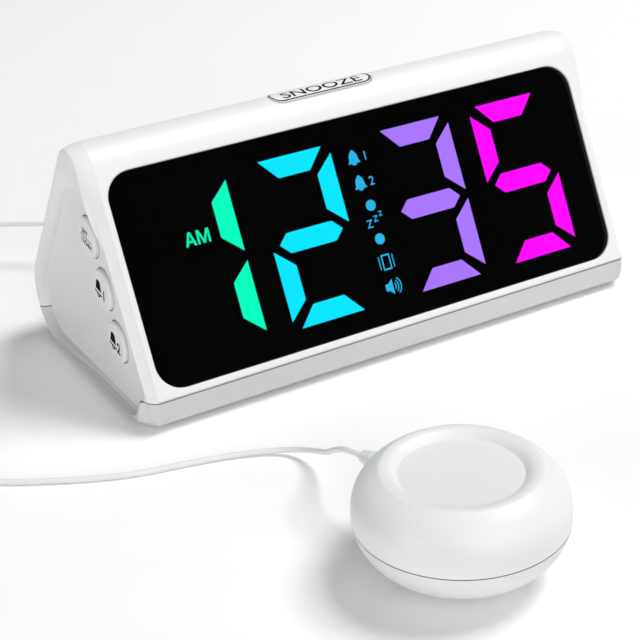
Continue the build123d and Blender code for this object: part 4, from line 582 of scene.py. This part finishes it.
zinc = metal("zinc_plate", (0.66, 0.67, 0.69), (0.55, 0.56, 0.58), 0.35)
dress(zinc, "switch_board_screws", "snooze_board_screws", "display_screws", "main_board_screws")
dress(zinc, "case_screws", "battery_door_screw", "puck_screws", "motor_clamp_screws", "motor_clamp")


# Power socket, coin cell and contacts: drawn steel shells and brass springs at the back and underneath.
# The cell lies behind its door in the tray, and the capacitors stand on the main board.
steel = metal("drawn_steel", (0.7, 0.71, 0.72), (0.6, 0.61, 0.62), 0.3, (1.0, 0.1, 1.0))
dress(steel, "power_socket", "coin_cell", "capacitors")
dress(metal("spring_brass", (0.75, 0.58, 0.28), (0.66, 0.5, 0.22), 0.32), "cell_contacts")


# Loudspeaker behind the slots: coated steel frame, pressed paper cone, ferrite magnet.
# It sits on the tray, over the slots.
coated = moulded("frame_black_coat", (0.04, 0.04, 0.042), (0.03, 0.03, 0.032), rough=0.45)
dress(coated, "speaker_frame")
cone_tints = (0.05, 0.05, 0.05), (0.035, 0.035, 0.035)
dress(moulded("cone_black_paper", *cone_tints, grain=1500.0, rough=0.9, relief=0.00008), "speaker_cone")
magnet_tints = (0.11, 0.11, 0.115), (0.08, 0.08, 0.085)
dress(moulded("magnet_ferrite", *magnet_tints, grain=2500.0, rough=0.6), "speaker_magnet")


# Rubber feet under the clock and the pad under the puck: moulded, dark and matt.
# They are set into seats of the tray and of the puck's lower shell.
rubber_tints = (0.16, 0.16, 0.165), (0.13, 0.13, 0.135)
dress(moulded("foot_matt_rubber", *rubber_tints, grain=3000.0, rough=0.8), "rubber_feet", "puck_foot")


# Shaker puck: two satin shells screwed together from below, the upper one with a shallow dish.
# Inside, a motor in a drawn can turns an eccentric weight of sintered metal.
dress(moulded("puck_satin_white", (0.85, 0.85, 0.855), (0.83, 0.83, 0.835)), "puck_upper_shell")
puck_low = moulded("puck_lower_satin_white", (0.81, 0.81, 0.815), (0.79, 0.79, 0.795), seam=(0.0152, 0.0156))
dress(puck_low, "puck_lower_shell")
dress(metal("motor_can", (0.68, 0.68, 0.69), (0.58, 0.58, 0.6), 0.3, (0.1, 1.0, 1.0)), "vibration_motor")
dress(metal("weight_sintered", (0.5, 0.5, 0.52), (0.4, 0.4, 0.42), 0.5), "eccentric_weight")


# Cord: a thin white two-core lead from the plug in the clock's back to the puck's boot.
# The length out of the picture is wound into a flat coil of four layers beside the clock.
jacket = moulded("cord_soft_white", (0.84, 0.84, 0.845), (0.81, 0.81, 0.815), grain=5000.0, rough=0.5)
dress(jacket, "puck_cord_boot")
dress(moulded("plug_satin_white", (0.86, 0.86, 0.865), (0.84, 0.84, 0.845)), "shaker_plug")
cord_diameter = 0.0016
clock_route = np.array([
    (-52.0, 130.0, 15.6), (-52.0, 136.0, 15.6), (-54.8, 142.2, 15.6), (-61.0, 147.5, 15.4),
    (-69.5, 153.8, 15.0), (-79.5, 164.0, 14.0), (-91.5, 171.5, 11.5), (-106.5, 172.8, 7.5),
    (-121.5, 166.5, 3.6), (-135.0, 155.0, 1.6), (-144.6, 141.5, 2.4), (-149.0, 127.5, 5.6),
    (-148.79, 116.0, 7.5), (-148.79, 105.6, 7.5),
])
puck_route = np.array([
    (-147.46, 102.4, 0.9), (-147.46, 89.0, 0.9), (-148.5, 74.5, 0.9), (-149.4, 59.5, 0.9),
    (-147.4, 45.5, 0.9), (-142.0, 33.0, 0.9), (-131.8, 23.6, 0.9), (-119.8, 16.2, 0.9),
    (-107.4, 9.7, 0.9), (-97.4, 5.8, 0.9), (-83.4, 3.0, 0.9), (-69.6, -0.8, 0.9),
    (-57.8, -6.6, 1.3), (-54.2, -16.0, 4.4), (-56.0, -26.0, 9.4), (-58.9, -35.0, 16.0),
    (-59.17, -42.33, 20.0), (-57.52, -47.58, 20.0),
])
coil_middle = np.array((-132.0, 104.0))
coil_mean, coil_pitch, coil_layer, coil_rest = 19.0, 2.65, 2.2, 0.9
layers, turns_in_layer, points_in_half = 4, 5, 8
half_turns = 2 * turns_in_layer - 1
outermost = coil_mean / 2 + half_turns * coil_pitch / 4
steps = np.arange(half_turns + 1)
inward = np.concatenate([steps if layer % 2 == 0 else steps[::-1] for layer in range(layers)])
reach = np.r_[outermost - inward * coil_pitch / 2, outermost + coil_pitch / 2]
level = np.r_[np.repeat(np.arange(layers), half_turns + 1), layers - 1] * coil_layer + coil_rest
side = np.where(np.arange(len(reach)) % 2, 1.0, -1.0)
ends = np.c_[side * reach, level]
centre = (ends[:-1] + ends[1:]) / 2
arm = (ends[:-1] - ends[1:]) / 2
turn = np.pi * np.arange(points_in_half) / points_in_half
swing = np.linalg.norm(arm, axis=1)[:, None] * np.sin(turn) * -side[:-1, None]
along = centre[:, None, 0] + arm[:, None, 0] * np.cos(turn)
rise = centre[:, None, 1] + arm[:, None, 1] * np.cos(turn)
coil_turns = np.c_[coil_middle[0] + along.ravel(), coil_middle[1] + swing.ravel(), rise.ravel()]
coil_tail = np.array([(coil_middle[0] + ends[-1, 0], coil_middle[1], ends[-1, 1])])
route = np.r_[puck_route[::-1], coil_turns, coil_tail, clock_route[::-1]] / 1000

lead = bpy.data.curves.new("shaker_cord", "CURVE")
lead.dimensions = "3D"
spline = lead.splines.new("NURBS")
spline.points.add(len(route) - 1)
spline.points.foreach_set("co", np.c_[route, np.ones(len(route))].ravel())
spline.order_u = 3
spline.use_endpoint_u = True
spline.resolution_u = 5
lead.bevel_depth = cord_diameter / 2
lead.bevel_resolution = 3
lead.use_fill_caps = True
cord = add_piece("shaker_cord", lead, jacket, "clock")
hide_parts("cord_at_clock", "cord_coil", "cord_at_puck")


# Tie of the put-away coil: a soft woven strap round one side of its turns.
# It is closed in a ring through the middle of the coil and pressed flat where it lies on the table.
def strap(middle, half_size, thickness, width, count=96):
    """A flat band: a superellipse of the eighth power in the y-z plane carries a thin rectangular section,
    and nothing of it goes below the table."""
    turn = np.linspace(0, 2 * np.pi, count, endpoint=False)
    bow = np.c_[np.cos(turn), np.sin(turn)]
    bow = np.sign(bow) * np.abs(bow) ** 0.25
    inner = np.array(middle)[1:] + bow * half_size
    outer = np.array(middle)[1:] + bow * (np.array(half_size) + thickness)
    loop = np.stack([inner, inner, outer, outer], axis=1)
    loop[:, :2, 1] = np.maximum(loop[:, :2, 1], 0.06)
    loop[:, 2:, 1] = np.maximum(loop[:, 2:, 1], 0.01)
    edge = np.broadcast_to(middle[0] + width * np.array((-0.5, 0.5, 0.5, -0.5)), (count, 4))
    spots = np.concatenate([edge[..., None], loop], axis=2).reshape(-1, 3)
    return spots / 1000, closed_quads(count, 4)


tie_middle = (coil_middle[0], coil_middle[1] + 9.5, 4.2)
tie_spots, tie_faces = strap(tie_middle, (6.25, 4.2), 0.5, 3.2)
tie_mesh = bpy.data.meshes.new("cord_tie")
tie_mesh.from_pydata(tie_spots, [], tie_faces)
tie_mesh.update()
woven, woven_shader, woven_at = new_finish("tie_woven_grey", Roughness=0.85)
weave = woven_at.node("ShaderNodeTexWave", Vector=woven_at, Scale=900.0, Distortion=1.5)
feed(woven_shader, Base_Color=weave.mix((0.55, 0.55, 0.56, 1), (0.7, 0.7, 0.71, 1)))
feed(woven_shader, Normal=woven_at.node("ShaderNodeBump", Strength=0.5, Distance=0.00008, Height=weave))
tie = add_piece("cord_tie", tie_mesh, woven, "clock")


# Studio: a floor of white paper, a soft light from above on the right, lower and weaker ones from the front
# and the left, and a weak even sky that the camera and mirrored rays see as white.
floor_half = 6.0
floor_mesh = bpy.data.meshes.new("studio_floor")
floor_corners = floor_half * np.array([(-1, -1, 0), (1, -1, 0), (1, 1, 0), (-1, 1, 0)])
floor_mesh.from_pydata(floor_corners, [], [(0, 1, 2, 3)])
floor = bpy.data.objects.new("studio_floor", floor_mesh)
bpy.context.scene.collection.objects.link(floor)
paper, paper_shader, paper_at = new_finish(
    "floor_white_paper", Roughness=0.9, Specular_IOR_Level=0.0, Emission_Strength=0.09
)
paper_fleck = paper_at.node("ShaderNodeTexNoise", Vector=paper_at, Scale=50.0)
feed(paper_shader, Base_Color=paper_fleck.mix((0.97, 0.97, 0.97, 1), (0.985, 0.985, 0.985, 1)))
paper_seen = paper_at.node("ShaderNodeLightPath", out="Is Camera Ray")
feed(paper_shader, Emission_Color=paper_seen.mix((0, 0, 0, 1), (1, 1, 1, 1)))
floor_mesh.materials.append(paper)

sky_level = 0.12
world = bpy.data.worlds.new("studio_sky")
bpy.context.scene.world = world
world.use_nodes = True
sky = world.node_tree.nodes["Background"]
light_path = world.node_tree.nodes.new("ShaderNodeLightPath")
seen, mirrored, through = (
    Socket(world.node_tree, light_path.outputs[ray])
    for ray in ("Is Camera Ray", "Is Glossy Ray", "Is Transmission Ray")
)
sky.inputs["Color"].default_value = (1, 1, 1, 1)
direct = seen.maths("MAXIMUM", seen.maths("MAXIMUM", seen, mirrored), through)
seen.tree.links.new((direct * (1 - sky_level) + sky_level).link, sky.inputs["Strength"])


def lamp(name, place, target, size, power):
    """A square soft light at place, turned to target."""
    data = bpy.data.lights.new(name, "AREA")
    data.size = size
    data.energy = power
    thing = bpy.data.objects.new(name, data)
    bpy.context.scene.collection.objects.link(thing)
    back = np.subtract(place, target) / np.linalg.norm(np.subtract(place, target))
    right = np.cross((0, 0, 1), back)
    right /= np.linalg.norm(right)
    turn = np.eye(4)
    turn[:3, :3] = np.c_[right, np.cross(back, right), back]
    turn[:3, 3] = place
    thing.matrix_world = Matrix(turn.tolist())


lit_spot = (0.0, 0.0, 0.03)
lamp("key_light", (1.00, -0.20, 1.90), lit_spot, 1.0, 34.5)
lamp("front_light", (-0.25, -2.10, 1.00), lit_spot, 1.8, 19.0)
lamp("left_light", (-2.20, -0.50, 0.44), lit_spot, 1.0, 15.5)


# Camera: it stands where a fit to the display's corners, the ridge and the table line puts it.
# The columns of its matrix are its right, its up and the way back from what it looks at.
camera_data = bpy.data.cameras.new("photo_camera")
camera_data.sensor_width = 36.0
camera_data.lens = 95.69
camera = bpy.data.objects.new("photo_camera", camera_data)
bpy.context.scene.collection.objects.link(camera)
pose = np.eye(4)
pose[:3, 0] = (0.86562597, -0.49847406, -0.04706694)
pose[:3, 1] = (0.26430264, 0.37507978, 0.88851521)
pose[:3, 2] = (-0.42524793, -0.78156175, 0.4564268)
pose[:3, 3] = (-0.24278, -0.36911, 0.24997)
camera.matrix_world = Matrix(pose.tolist())
bpy.context.scene.camera = camera
bpy.context.scene.view_settings.view_transform = "Standard"
